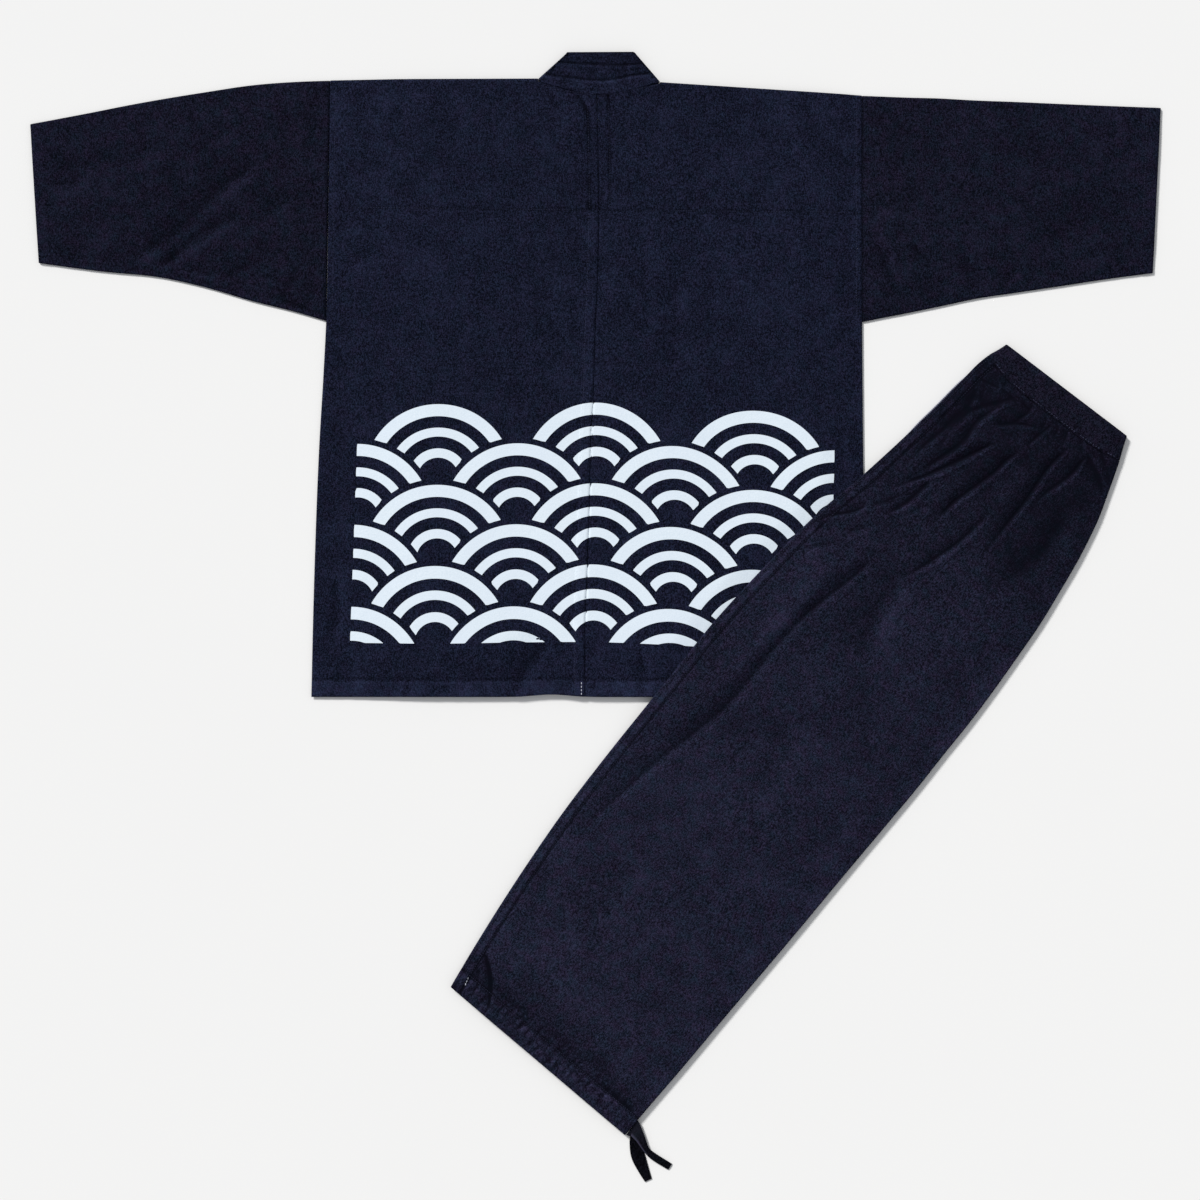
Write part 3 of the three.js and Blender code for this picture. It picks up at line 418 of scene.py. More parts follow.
def back_height(x, y):
    """The top of the jacket's back, and its wear and painted light."""
    x, y = np.broadcast_arrays(np.asarray(x, float), np.asarray(y, float))
    x, y = x.copy(), y.copy()
    free = clear_of_leg(x, y)
    top = shoulder(x)
    edge = np.minimum.reduce([x - side_l(y), side_r(y) - x, top - y, y - HEM_Y + 12])
    loose = smooth(0, 60, edge) * free
    h = lift(x) + WALL
    puff = 1.5 + 0.55 * noise(x, y, 150, 1) + 0.35 * noise(x, y, 62, 2, (1, 1.5))
    puff += 0.13 * noise(x, y, 24, 3, (1, 1.6)) + 0.05 * noise(x, y, 9, 4)
    z, wear_and_painted_light = creased(x, y, BACK_CREASES)
    h = h + soft_floor(loose * puff + z * free * smooth(-2, 6, edge + 6), 0.02, 0.12)
    # seams: the centre back, pressed to the left and stitched down; its second row beside the yoke
    seam = centre_seam(y)
    yoke = YOKE_Y(x)
    d = x - seam
    press = smooth(-14.5, -12.6, d) * (1 - smooth(-0.6, 0.0, d))
    upper = smooth(yoke - 1, yoke + 1, y)
    low = (0.55 * press - 0.75 * np.exp(-((d / 1.5) ** 2)) - 0.22 * np.exp(-(((d + 12.2) / 1.2) ** 2))) * (1 - 0.65 * upper)
    row_l = upper_row(y)
    rows = upper * (-0.5 * np.exp(-(((d + row_l) / 1.3) ** 2)) - 0.45 * np.exp(-(((d - 13.2) / 1.3) ** 2)) + 0.25 * smooth(-13, -10, d) * (1 - smooth(11, 14, d)))
    h = h + (low + rows) * (0.35 + 0.65 * free)
    # painted shade in the centre seam's groove; the pressed seam allowance lighter as worn
    wear_and_painted_light = wear_and_painted_light - (0.3 + 0.3 * upper) * np.exp(-((d / 1.4) ** 2)) + 0.45 * press * (1 - upper) * (0.7 + 0.5 * noise(x, y, 6, 8))
    pucker_shade = np.clip(0.75 + 0.6 * noise(x, y, 5, 31, (1, 2)), 0.2, 1.5)
    # painted shade in the grooves of the yoke's two rows of stitches, uneven where the seam puckers
    wear_and_painted_light = wear_and_painted_light - upper * pucker_shade * (3.6 * np.exp(-(((d + row_l) / 1.9) ** 2)) + 2.6 * np.exp(-(((d - 13.2) / 1.8) ** 2)))
    # the yoke's row of stitches
    pull = 0.16 * noise(x, y, 9, 5, (1, 3)) * np.exp(-(((y - yoke) / 9) ** 2))
    h = h - 0.45 * np.exp(-(((y - yoke) / 1.5) ** 2)) + pull
    # painted shade in the yoke seam's groove
    wear_and_painted_light = wear_and_painted_light - 0.95 * np.exp(-(((y - yoke) / 1.7) ** 2))
    # armhole seams
    arm = smooth(345, 358, y)
    da = np.minimum(x - side_l(y), side_r(y) - x)
    h = h + arm * (0.28 * smooth(0.5, 2, da) * (1 - smooth(9, 12, da)))
    wear_and_painted_light = wear_and_painted_light + arm * (0.35 * smooth(0.5, 2, da) * (1 - smooth(8, 12, da)) * (0.6 + 0.6 * noise(x, y, 7, 9)))
    # the hem, turned twice and stitched
    up = y - HEM_Y
    hem = 1 - smooth(19.0, 21.2, up)
    h = h + 0.55 * hem - 0.45 * np.exp(-(((up - 20.6) / 1.4) ** 2)) + 0.22 * hem * noise(x, y, 9, 6, (1, 3))
    # painted shade in the hem stitching's groove; the turned hem lighter as worn
    wear_and_painted_light = wear_and_painted_light - 1.3 * np.exp(-(((up - 21.0) / 1.6) ** 2)) + hem * (0.85 + 0.7 * noise(x, y, 6, 7, (0.8, 1.6)) + 0.35 * noise(x, y, 24, 18))
    # under the collar's seam: a shallow groove with ripples, and a band of painted shade along the collar's edge
    neck = soften(at(NECK_LINE), 3)
    dn = np.full(x.shape, 99.0)
    box = (y > 596) & (np.abs(x - 5) < 110)
    if box.any():
        dn[box] = np.abs(to_line(x[box], y[box], neck)[0])
    h = h - 0.12 * np.exp(-((dn / 2.2) ** 2)) + 0.3 * noise(x, y, 4.5, 10, (1, 4)) * np.exp(-((dn / 10) ** 2))
    wear_and_painted_light = wear_and_painted_light - 0.15 * np.exp(-((dn / 2.4) ** 2)) - 0.7 * np.exp(-(((dn - 4) / 4) ** 2)) * (0.5 + 0.8 * noise(x, y, 2.6, 19, (1, 2)))
    wear_and_highlight = np.exp(-((np.minimum(x - side_l(y), side_r(y) - x) / 3.0) ** 2)) * (1 - arm)
    return h, wear_and_painted_light + 0.3 * wear_and_highlight


def leg_ground(x, y):
    """What the trousers lie on."""
    over = curve([(240, 6.35), (284, 6.1), (305, 5.2), (323.4, 3.9), (342, 1.7), (362, 0.35), (376, 0.0)])(np.maximum(x, 240))
    return over * (1 - smooth(2, 58, HEM_Y - y))


def leg_top(s, w):
    """The top of the upper leg, and its wear and painted light."""
    s, w = np.broadcast_arrays(np.asarray(s, float), np.asarray(w, float))
    x, y = xy_of(s, w)
    base = leg_ground(x, y) + UNDER_T + GAP + 2 * WALL + GAP
    w0, w1 = inner_w(s), outer_w(s)
    edge = np.minimum(w - w0, w1 - w)
    ends = smooth(0, 26, s - 29) * (1 - 0.55 * smooth(930, 1000, s))
    puff = 4.2 * smooth(-2, 62, edge) * ends * (1 - 0.28 * smooth(420, 900, s))
    puff = puff + smooth(0, 40, edge) * (0.7 * noise(s, w, 130, 21) + 0.4 * noise(s, w, 52, 22, (1.6, 1)) + 0.12 * noise(s, w, 19, 23, (1.7, 1)))
    puff = puff + smooth(0, 10, edge) * 0.05 * noise(s, w, 8, 24)
    z, wear_and_painted_light = creased(x, y, LEG_CREASES)
    h = puff + z * smooth(-1, 14, edge)
    # gathers of the waist, fine ones close under the band
    close = np.exp(-(((s - 33) / 16) ** 2))
    h = h + close * (0.75 * noise(w * 1.0, s * 0.16, 6.5, 25) + 0.5)
    # the felled seam beside the inner edge: a flat strip, raised, and its two rows of stitches
    di = w - w0
    strip = smooth(0.5, 2.0, di) * (1 - smooth(12.2, 13.6, di))
    h = h + 0.55 * strip - 0.75 * np.exp(-(((di - 13.4) / 1.4) ** 2)) - 0.4 * np.exp(-(((di - 3.4) / 1.1) ** 2))
    h = h + 0.2 * strip * noise(s, w, 9, 26, (1, 2))
    # painted shade in the grooves of the two rows of stitches; the raised strip lighter as worn, and a lighter line
    # beside the outer groove
    wear_and_painted_light = wear_and_painted_light - 2.8 * np.exp(-(((di - 13.6) / 1.6) ** 2)) - 2.0 * np.exp(-(((di - 3.8) / 1.3) ** 2)) + 0.9 * strip * (0.6 + 0.9 * noise(s, w, 6, 27)) + 0.7 * np.exp(-(((di - 16.4) / 1.3) ** 2)) * (0.5 + noise(s, w, 8, 30))
    # the hem's casing, gathered on its drawstring
    up = LEG_LEN - s
    casing = 1 - smooth(23.5, 26.5, up)
    h = h - 0.75 * np.exp(-(((up - 25.2) / 1.9) ** 2)) + casing * 0.9 * np.sin(np.pi * np.clip(up / 25, 0, 1)) ** 0.7
    # painted shade in the casing stitching's groove
    wear_and_painted_light = wear_and_painted_light - 2.0 * np.exp(-(((up - 25.4) / 1.8) ** 2))
    for where, deep, half, lean in GATHERS:
        wc = -137 + where * U + lean * (up - 12) * 0.6
        reach = np.exp(-(((up - 13) / 15.5) ** 2)) + 0.45 * np.exp(-(((up - 28) / 13) ** 2))
        half = half * (0.72 + 0.2 * math.sin(where * 1.7))
        deep = deep * (0.8 + 0.35 * math.sin(where * 0.9 + 1))
        reach = reach * np.clip(0.65 + 0.9 * noise(s, w, 8, 200 + int(where)), 0, 1.4)
        wc = wc + 1.6 * noise(s, 0 * w, 9, 260 + int(where))
        b = np.exp(-(((w - wc) / half) ** 2)) * reach
        lips = np.exp(-(((np.abs(w - wc) - 1.9 * half) / half) ** 2)) * reach
        h = h - deep * b + 0.35 * deep * lips
        # painted shade in each gather's trough, painted highlight on its lips
        wear_and_painted_light = wear_and_painted_light - 1.4 * b + 1.0 * lips * (0.7 + noise(s, w, 4, 28))
    wear_and_highlight = np.exp(-((edge / 3.5) ** 2))
    # lighter along the edges as worn, speckled on the casing; darker towards the waist, partly the cloth's own tone and
    # partly painted shade of the gathers there; a little darker about the middle and towards the hem
    wear_and_painted_light = wear_and_painted_light + 0.25 * wear_and_highlight + 0.45 * casing * noise(s, w, 5, 29) - 1.9 * (1 - smooth(20, 400, s)) - 0.2 * np.exp(-(((s - 470) / 150) ** 2)) - 0.35 * smooth(LEG_LEN - 90, LEG_LEN - 30, s)
    # painted shade: a soft dark band above the casing, less towards the outer edge
    wear_and_painted_light = wear_and_painted_light - 0.8 * np.exp(-(((up - 36) / 12) ** 2)) * (1 - 0.5 * smooth(0, 110, w))
    return base, soft_floor(h, 0.0, 0.3), wear_and_painted_light


# ------------------------------------------------------------------ meshes
def make_object(name, verts, quads, material, wear_and_painted_light=None, tris=None, round_faces=True):
    """A mesh object from points in mm, four-sided faces, and three-sided ones."""
    me = bpy.data.meshes.new(name)
    quads = np.asarray(quads, np.int32).reshape(-1, 4)
    tris = np.zeros((0, 3), np.int32) if tris is None else np.asarray(tris, np.int32).reshape(-1, 3)
    me.vertices.add(len(verts))
    me.vertices.foreach_set("co", (np.asarray(verts, float) * MM).astype(np.float32).ravel())
    me.loops.add(len(quads) * 4 + len(tris) * 3)
    me.loops.foreach_set("vertex_index", np.concatenate([quads.ravel(), tris.ravel()]))
    me.polygons.add(len(quads) + len(tris))
    starts = np.concatenate([np.arange(len(quads)) * 4, len(quads) * 4 + np.arange(len(tris)) * 3])
    me.polygons.foreach_set("loop_start", starts.astype(np.int32))
    me.polygons.foreach_set("loop_total", np.concatenate([np.full(len(quads), 4), np.full(len(tris), 3)]).astype(np.int32))
    me.update(calc_edges=True)
    me.polygons.foreach_set("use_smooth", np.full(len(me.polygons), round_faces))
    if wear_and_painted_light is not None:
        a = me.attributes.new("wear_and_painted_light", "FLOAT", "POINT")
        a.data.foreach_set("value", np.asarray(wear_and_painted_light, np.float32).ravel())
    me.materials.append(material)
    me.validate()
    o = bpy.data.objects.new(name, me)
    scene.collection.objects.link(o)
    return o


def grid_normals(P, wrap=False):
    if wrap:
        du = np.roll(P, -1, 1) - np.roll(P, 1, 1)
    else:
        du = np.gradient(P, axis=1)
    dv = np.gradient(P, axis=0)
    n = np.cross(du, dv)
    return n / np.maximum(np.linalg.norm(n, axis=2, keepdims=True), 1e-9)


def shell(name, P, T, material, wear_and_painted_light=None, wrap=False, outward=1, normals=None, coarse=1):
    """A closed wall of cloth round a grid of middle points P, T thick at each. outward says which way the grid's own normal points;
    the hidden face takes one in so many of the points as coarse says."""
    N = (grid_normals(P, wrap) if normals is None else normals) * outward
    T = np.broadcast_to(T, P.shape[:2])[..., None]
    A, B = P + N * T / 2, P - N * T / 2
    R, C = P.shape[:2]
    if coarse > 1:
        # the hidden face keeps below every point of the one that shows
        z = np.pad(np.pad(A[..., 2], ((1, 1), (0, 0)), "edge"), ((0, 0), (1, 1)), "wrap" if wrap else "edge")
        least = np.min([z[i:i + R, j:j + C] for i in range(3) for j in range(3)], 0) - T[..., 0]
        B[..., 2] = np.where(N[..., 2] > 0.6, np.maximum(np.minimum(B[..., 2], least), B[..., 2] - 0.8), B[..., 2])
    B[..., 2] = np.maximum(B[..., 2], 0.0)
    rr = np.unique(np.append(np.arange(0, R, coarse), R - 1))
    cc = np.arange(0, C, coarse) if wrap else np.unique(np.append(np.arange(0, C, coarse), C - 1))
    idx = np.arange(R * C).reshape(R, C)
    sub = np.arange(len(rr) * len(cc)).reshape(len(rr), len(cc)) + R * C

    def quads_of(grid):
        nxt = np.roll(grid, -1, 1) if wrap else grid[:, 1:]
        cur = grid if wrap else grid[:, :-1]
        return np.stack([cur[:-1], nxt[:-1], nxt[1:], cur[1:]], -1).reshape(-1, 4)

    flip = outward < 0
    faces = [quads_of(idx)[:, ::-1], quads_of(sub)] if flip else [quads_of(idx), quads_of(sub)[:, ::-1]]
    four, three = [], []

    def rim(a, keep, b):
        """Joins a loop of points a to the coarser loop b, which has a point at each of a's places in keep."""
        m = len(a)
        for k in range(len(keep)):
            p, q, bp, bq = keep[k], keep[(k + 1) % len(keep)], b[k], b[(k + 1) % len(b)]
            q = q + m if q <= p else q
            for i in range(p, q - 1):
                three.append((a[i % m], bp, a[(i + 1) % m]))
            four.append((a[(q - 1) % m], bp, bq, a[q % m]))

    if wrap:
        rim(idx[0], cc, sub[0])
        rim(idx[-1][::-1], C - 1 - cc[::-1], sub[-1][::-1])
    else:
        a = np.concatenate([idx[0], idx[1:, -1], idx[-1, -2::-1], idx[-2:0:-1, 0]])
        b = np.concatenate([sub[0], sub[1:, -1], sub[-1, -2::-1], sub[-2:0:-1, 0]])
        keep = np.concatenate([cc, C - 1 + rr[1:], C + R - 2 + C - 1 - cc[-2::-1], 2 * C + R - 3 + R - 1 - rr[-2:0:-1]])
        rim(a, keep, b)
    four, three = np.array(four, int).reshape(-1, 4), np.array(three, int).reshape(-1, 3)
    faces.append(four[:, ::-1] if flip else four)
    V = np.concatenate([A.reshape(-1, 3), B[rr][:, cc].reshape(-1, 3)])
    f = None if wear_and_painted_light is None else np.concatenate([wear_and_painted_light.ravel(), wear_and_painted_light[rr][:, cc].ravel()])
    return make_object(name, V, np.concatenate(faces), material, f, tris=three[:, ::-1] if flip else three)


def spaced(length, pitch, dense=(), edge=(0.0, 0.35, 1.1, 2.2)):
    """Places from 0 to length, as parts of it: close together at both ends, and in each dense span (from, to, pitch)."""
    e = np.array(edge)
    x = np.linspace(e[-1], length - e[-1], 8001)
    p = np.full(x.shape, float(pitch))
    for a, b, fine in dense:
        away = np.maximum(1 - smooth(a - 5, a, x), smooth(b, b + 5, x))
        p = np.minimum(p, fine + (pitch - fine) * away)
    total = np.concatenate([[0], np.cumsum((x[1] - x[0]) / p[:-1])])
    mid = np.interp(np.linspace(0, total[-1], max(2, int(round(total[-1]))) + 1), total, x)
    return np.concatenate([e[:-1], mid, length - e[:-1][::-1]]) / length


def steps(length, pitch, edge=(0.0, 0.35, 1.1, 2.2)):
    """Places from 0 to length, close together at both ends, as parts of the length."""
    e = np.array(edge)
    n = max(2, int(round((length - 2 * e[-1]) / pitch)))
    mid = np.linspace(e[-1], length - e[-1], n + 1)
    return np.concatenate([e[:-1], mid, length - e[:-1][::-1]]) / length


def thin_edges(u_mm, total, t=WALL):
    """The wall's thickness across its width: rounded off at both edges."""
    d = np.minimum(u_mm, total - u_mm)
    return t * (0.36 + 0.64 * np.sqrt(np.clip(1 - (1 - np.clip(d / 1.1, 0, 1)) ** 2, 0, 1)))


# ------------------------------------------------------------------ materials
class Nodes:
    """A material's nodes, made and linked by short calls."""

    def __init__(self, name):
        self.m = bpy.data.materials.new(name)
        self.m.use_nodes = True
        self.t = self.m.node_tree
        self.t.nodes.clear()
        self.out = self.t.nodes.new("ShaderNodeOutputMaterial")
        self.shader = self.t.nodes.new("ShaderNodeBsdfPrincipled")
        self.t.links.new(self.shader.outputs[0], self.out.inputs["Surface"])
        self.coord = self.t.nodes.new("ShaderNodeTexCoord").outputs["Object"]

    def put(self, socket, value):
        if isinstance(value, bpy.types.NodeSocket):
            self.t.links.new(value, socket)
        else:
            socket.default_value = value

    def mapping(self, scale=(1, 1, 1), turn=0.0, source=None):
        n = self.t.nodes.new("ShaderNodeMapping")
        n.inputs["Scale"].default_value = scale
        n.inputs["Rotation"].default_value = (0, 0, turn)
        self.put(n.inputs["Vector"], source or self.coord)
        return n.outputs[0]

    def noise(self, scale, detail=2.0, rough=0.5, vector=None, distort=0.0):
        n = self.t.nodes.new("ShaderNodeTexNoise")
        n.inputs["Scale"].default_value = scale
        n.inputs["Detail"].default_value = detail
        n.inputs["Roughness"].default_value = rough
        n.inputs["Distortion"].default_value = distort
        self.put(n.inputs["Vector"], vector or self.coord)
        return n.outputs["Fac"]

    def wave(self, scale, distort=0.0, detail=0.0, detail_scale=1.0, vector=None, direction="X"):
        n = self.t.nodes.new("ShaderNodeTexWave")
        n.bands_direction = direction
        n.inputs["Scale"].default_value = scale
        n.inputs["Distortion"].default_value = distort
        n.inputs["Detail"].default_value = detail
        n.inputs["Detail Scale"].default_value = detail_scale
        self.put(n.inputs["Vector"], vector or self.coord)
        return n.outputs["Fac"]

    def math(self, op, a, b=None, c=None, clamp=False):
        n = self.t.nodes.new("ShaderNodeMath")
        n.operation, n.use_clamp = op, clamp
        for i, v in enumerate((a, b, c)):
            if v is not None:
                self.put(n.inputs[i], v)
        return n.outputs[0]

    def remap(self, value, a, b, c=0.0, d=1.0, smoothly=False):
        n = self.t.nodes.new("ShaderNodeMapRange")
        n.interpolation_type = "SMOOTHSTEP" if smoothly else "LINEAR"
        for i, v in enumerate((value, a, b, c, d)):
            self.put(n.inputs[i], v)
        return n.outputs[0]

    def mix(self, fac, a, b, blend="MIX"):
        n = self.t.nodes.new("ShaderNodeMix")
        n.data_type, n.blend_type = "RGBA", blend
        self.put(n.inputs["Factor"], fac)
        for key, v in (("A", a), ("B", b)):
            s = [i for i in n.inputs if i.name == key and i.type == "RGBA"][0]
            self.put(s, v if isinstance(v, bpy.types.NodeSocket) else (*v, 1.0))
        return [o for o in n.outputs if o.type == "RGBA"][0]

    def attribute(self, name):
        n = self.t.nodes.new("ShaderNodeAttribute")
        n.attribute_type, n.attribute_name = "GEOMETRY", name
        return n.outputs["Fac"]

    def bump(self, height, distance, strength=1.0, normal=None):
        n = self.t.nodes.new("ShaderNodeBump")
        n.inputs["Strength"].default_value = strength
        n.inputs["Distance"].default_value = distance
        self.put(n.inputs["Height"], height)
        if normal is not None:
            self.put(n.inputs["Normal"], normal)
        return n.outputs[0]


def lin(*srgb):
    """Linear colour from 0 to 255 display values."""
    c = np.array(srgb) / 255
    return tuple(np.where(c <= 0.04045, c / 12.92, ((c + 0.055) / 1.055) ** 2.4))


def denim(name, color, grain=0.0, tint=(1.3, 0.9, 1.02), tint_by=0.26, mottle=0.9):
    """Indigo twill: pale weft flecks in dark warp, slubs along the grain, soft patches of bluer and redder dye; a
    per-point attribute lightens it where high and darkens it where low. That attribute carries real wear at edges and
    seams, and also painted shade in troughs and grooves and painted highlight on crests.
    """
    k = Nodes(name)
    mean = np.array(lin(*color))
    wear_and_painted_light = k.attribute("wear_and_painted_light")
    along = k.mapping((1, 1, 1), grain)
    fleck = k.noise(820, 2.0, 0.6, k.mapping((1.0, 0.72, 1.0), 0, along))
    slub = k.noise(740, 2, 0.6, k.mapping((1.0, 0.4, 1.0), 0, along))
    cross = k.noise(740, 2, 0.6, k.mapping((0.45, 1.0, 1.0), 0, along))
    twill = k.wave(520, 1.6, 2, 1.4, k.mapping((1, 1, 1), 0.9, along))
    patch = k.noise(34, 4, 0.65, along)
    broad = k.noise(6, 3, 0.55, along)
    v = k.math("MULTIPLY", slub, 0.30)
    v = k.math("MULTIPLY_ADD", cross, 0.18, v)
    v = k.math("MULTIPLY_ADD", fleck, 0.42, v)
    v = k.math("MULTIPLY_ADD", twill, 0.10, v)
    v = k.remap(v, 0.5 - 0.36 * GRAIN_W, 0.5 + 0.64 * GRAIN_W, 0.0, 1.0)
    v = k.math("ADD", v, k.remap(k.noise(430, 1, 0.5, k.mapping((1.0, 0.6, 1.0), 0, along)), 0.66, 0.76, 0.0, 0.45))
    v = k.math("MULTIPLY_ADD", k.math("SUBTRACT", patch, 0.5), mottle, v)
    v = k.math("MULTIPLY_ADD", k.math("SUBTRACT", broad, 0.5), 0.3, v)
    # the per-point attribute: wear, and painted shade and painted highlight from creases, seams and gathers
    v = k.math("MULTIPLY_ADD", wear_and_painted_light, 0.34, v)
    v = k.math("MAXIMUM", v, 0.0)
    color = k.mix(v, tuple(mean * 0.3), tuple(mean * 2.25))
    hue = k.remap(k.noise(88, 2, 0.6, along), 0.3, 0.7, -1.25 * tint_by, 1.6 * tint_by)
    color = k.mix(hue, color, tint, "MULTIPLY")
    for n in k.t.nodes:
        if n.type == "MIX":
            n.clamp_factor = False
    k.put(k.shader.inputs["Base Color"], color)
    k.shader.inputs["Roughness"].default_value = 0.95
    k.shader.inputs["Specular IOR Level"].default_value = 0.02
    k.shader.inputs["Sheen Weight"].default_value = 0.01
    k.shader.inputs["Sheen Roughness"].default_value = 0.5
    k.shader.inputs["Sheen Tint"].default_value = (0.45, 0.5, 0.75, 1)
    h = k.math("MULTIPLY_ADD", fleck, 0.5, k.math("MULTIPLY", slub, 0.5))
    b = k.bump(h, 0.0006, 0.8)
    b = k.bump(twill, 0.00022, 0.5, b)
    k.put(k.shader.inputs["Normal"], b)
    return k.m


GRAIN_W = 0.068  # how narrow the spread of the weave's flecks is: less is more contrast
LEG_TURN = math.atan2(ACROSS[1], ACROSS[0])
cloth_body = denim("denim_body", (20.4, 23.6, 39.2))
cloth_sleeve = denim("denim_sleeve", (18.6, 20.2, 33.4), tint_by=0.5)
cloth_leg = denim("denim_leg", (25.6, 27.2, 42.4), grain=-LEG_TURN, tint_by=0.5)
cloth_band = denim("denim_band", (18.8, 19.5, 31.4), grain=-LEG_TURN, tint_by=0.5)
cloth_under = denim("denim_under", (36, 38, 54), grain=-LEG_TURN)
cloth_tie = denim("denim_tie", (9, 9.5, 15), grain=0.4)


def plain_thread(name, color, other):
    k = Nodes(name)
    k.put(k.shader.inputs["Base Color"], k.mix(k.noise(900, 2, 0.6), color, other))
    k.shader.inputs["Roughness"].default_value = 0.7
    k.shader.inputs["Specular IOR Level"].default_value = 0.2
    k.put(k.shader.inputs["Normal"], k.bump(k.wave(900, 0.5), 0.0001, 0.6))
    return k.m


thread_navy = plain_thread("thread_navy", lin(28, 30, 49), lin(55, 59, 87))
thread_band = plain_thread("thread_band", lin(52, 56, 82), lin(92, 97, 126))
thread_pale = plain_thread("thread_pale", lin(150, 154, 178), lin(214, 216, 228))


def ink():
    """White screen print: an even film that sinks a little between the yarns, with pinholes of blue."""
    k = Nodes("print_ink")
    weave = k.noise(520, 3, 0.7)
    thin = k.remap(k.noise(420, 3, 0.75), 0.68, 0.80, 0.0, 0.55)
    broad = k.noise(14, 3, 0.5)
    color = k.mix(k.remap(weave, 0.35, 0.7), lin(208, 221, 232), lin(222, 232, 241))
    color = k.mix(k.remap(broad, 0.35, 0.68, 0.0, 0.35), color, lin(211, 221, 237))
    color = k.mix(thin, color, lin(150, 163, 196))
    k.put(k.shader.inputs["Base Color"], color)
    k.shader.inputs["Roughness"].default_value = 0.62
    k.shader.inputs["Specular IOR Level"].default_value = 0.25
    k.put(k.shader.inputs["Normal"], k.bump(weave, 0.0004, 0.5))
    return k.m


ink_white = ink()

# ------------------------------------------------------------------ jacket: body


HEM_RISE = (-53.0, 29.0, 3.0)  # the hem is drawn up a little beside its deepest fold: x, half width, rise


def hem_rise(x, y):
    return HEM_RISE[2] * np.exp(-(((x - HEM_RISE[0]) / HEM_RISE[1]) ** 2)) * (1 - smooth(0, 34, y - HEM_Y))


def body_panel(side):
    left = side == "left"
    e = -1 if left else 1
    neck_x = -69.0 if left else 77.4
    side_x = side_l if left else side_r
    front_mid = lambda x: (0.0 * x if left else inner_front(x)) + WALL / 2
    back_mid_at_fold = lambda x: lift(x) + WALL / 2
    beyond = (lambda x: np.minimum(x, neck_x)) if left else (lambda x: np.maximum(x, neck_x))
    radius = lambda x: (back_mid_at_fold(x) - front_mid(x)) / 2
    fold_y = lambda x: shoulder(beyond(x)) - radius(x) - WALL / 2
    neck_fold = float(fold_y(neck_x))
    slope = lambda y, x: HEM_Y + (y - HEM_Y) * (fold_y(x) - HEM_Y) / (neck_fold - HEM_Y)
    t = spaced(335, 2.7, [(4, 9, 1.5), (318, 326, 1.1), (331, 335, 1.1)])
    rows, thick, wear_and_painted_light_rows = [], [], []
    edge_t = thin_edges(t * 335, 335)

    def back(y, in_x, ty):
        x = side_x(y) + (in_x - side_x(y)) * t
        yy = slope(y, x)
        h, f = back_height(x, yy)
        yy = yy + hem_rise(x, yy)
        rows.append(np.stack([x, yy, h - WALL / 2], -1))
        thick.append(edge_t * ty)
        wear_and_painted_light_rows.append(f)

    height = 626.5 - HEM_Y
    for k in spaced(height, 2.7, [(13, 27, 1.15), (578, 599, 1.15), (698, 718, 1.5)]):
        if k * height > height - 2.0 and k < 1:
            continue
        y = HEM_Y + k * height
        up = y - HEM_Y
        back(y, float(centre_seam(y)) + e * 0.15, 0.36 + 0.64 * math.sqrt(max(0.0, 1 - (1 - min(1, up / 1.1)) ** 2)))
    col = 1 if left else 2
    ys, xs = [n[0] for n in NECKLINE], [n[col] for n in NECKLINE]
    for k in np.linspace(0, 1, 13)[1:]:
        # even steps along the neckline
        x = xs[0] + (neck_x - xs[0]) * k
        order = slice(None, None, -1) if left else slice(None)
        y = float(np.interp(x, xs[order], ys[order]))
        back(min(y, neck_fold), x, 1.0)
    last_h = rows[-1]
    xf = side_x(650) + (neck_x - side_x(650)) * t
    zb = back_mid_at_fold(xf)
    for deg in (66, 44, 22, 0, -22, -44, -66, -90):
        a = math.radians(deg)
        r = radius(xf)
        mid = (zb + front_mid(xf)) / 2
        blend = smooth(20, 70, deg)
        x = xf + (last_h[:, 0] - xf) * blend
        y = fold_y(x) + r * math.cos(a)
        z = mid + r * math.sin(a) + (last_h[:, 2] - zb) * blend
        rows.append(np.stack([x, y, z], -1))
        thick.append(edge_t)
        wear_and_painted_light_rows.append(wear_and_painted_light_rows[len(rows) - 2] * 0.6 + 0.12)
    seam = collar_seam_l if left else collar_seam_r
    fy = [636, 626, 610, 590, 560, 520, 482, 440, 400, 355, 300, 235, 170, 110, 50, 0, -40, -75, HEM_Y + 2.2, HEM_Y + 1]
    for y in fy:
        inner = seam(y)
        inner = min(inner, -0.15) if left else max(inner, 0.15)
        outer = float(side_x(y)) - e * 0.4
        x = outer + (inner - outer) * t
        yy = slope(y, x) if y > HEM_Y + 3 else np.full_like(x, y)
        rows.append(np.stack([x, yy + hem_rise(x, yy), front_mid(x)], -1))
        thick.append(edge_t * (0.4 if y == HEM_Y + 1 else 1))
        wear_and_painted_light_rows.append(np.full(len(t), 0.0))
    P = np.array(rows)
    o = shell("jacket_body_" + side, P, np.array(thick), cloth_body, np.array(wear_and_painted_light_rows), outward=-1 if left else 1, coarse=2)
    return o


def flip_if_inside(o, up_at):
    """Turns the faces round if the one nearest to a point on top looks down."""
    me = o.data
    c = np.zeros(len(me.polygons) * 3, np.float32)
    n = np.zeros(len(me.polygons) * 3, np.float32)
    me.polygons.foreach_get("center", c)
    me.polygons.foreach_get("normal", n)
    c, n = c.reshape(-1, 3) / MM, n.reshape(-1, 3)
    d = np.hypot(c[:, 0] - up_at[0], c[:, 1] - up_at[1]) - 0.5 * c[:, 2]
    if n[int(np.argmin(d)), 2] < 0:
        me.flip_normals()


body_l, body_r = body_panel("left"), body_panel("right")


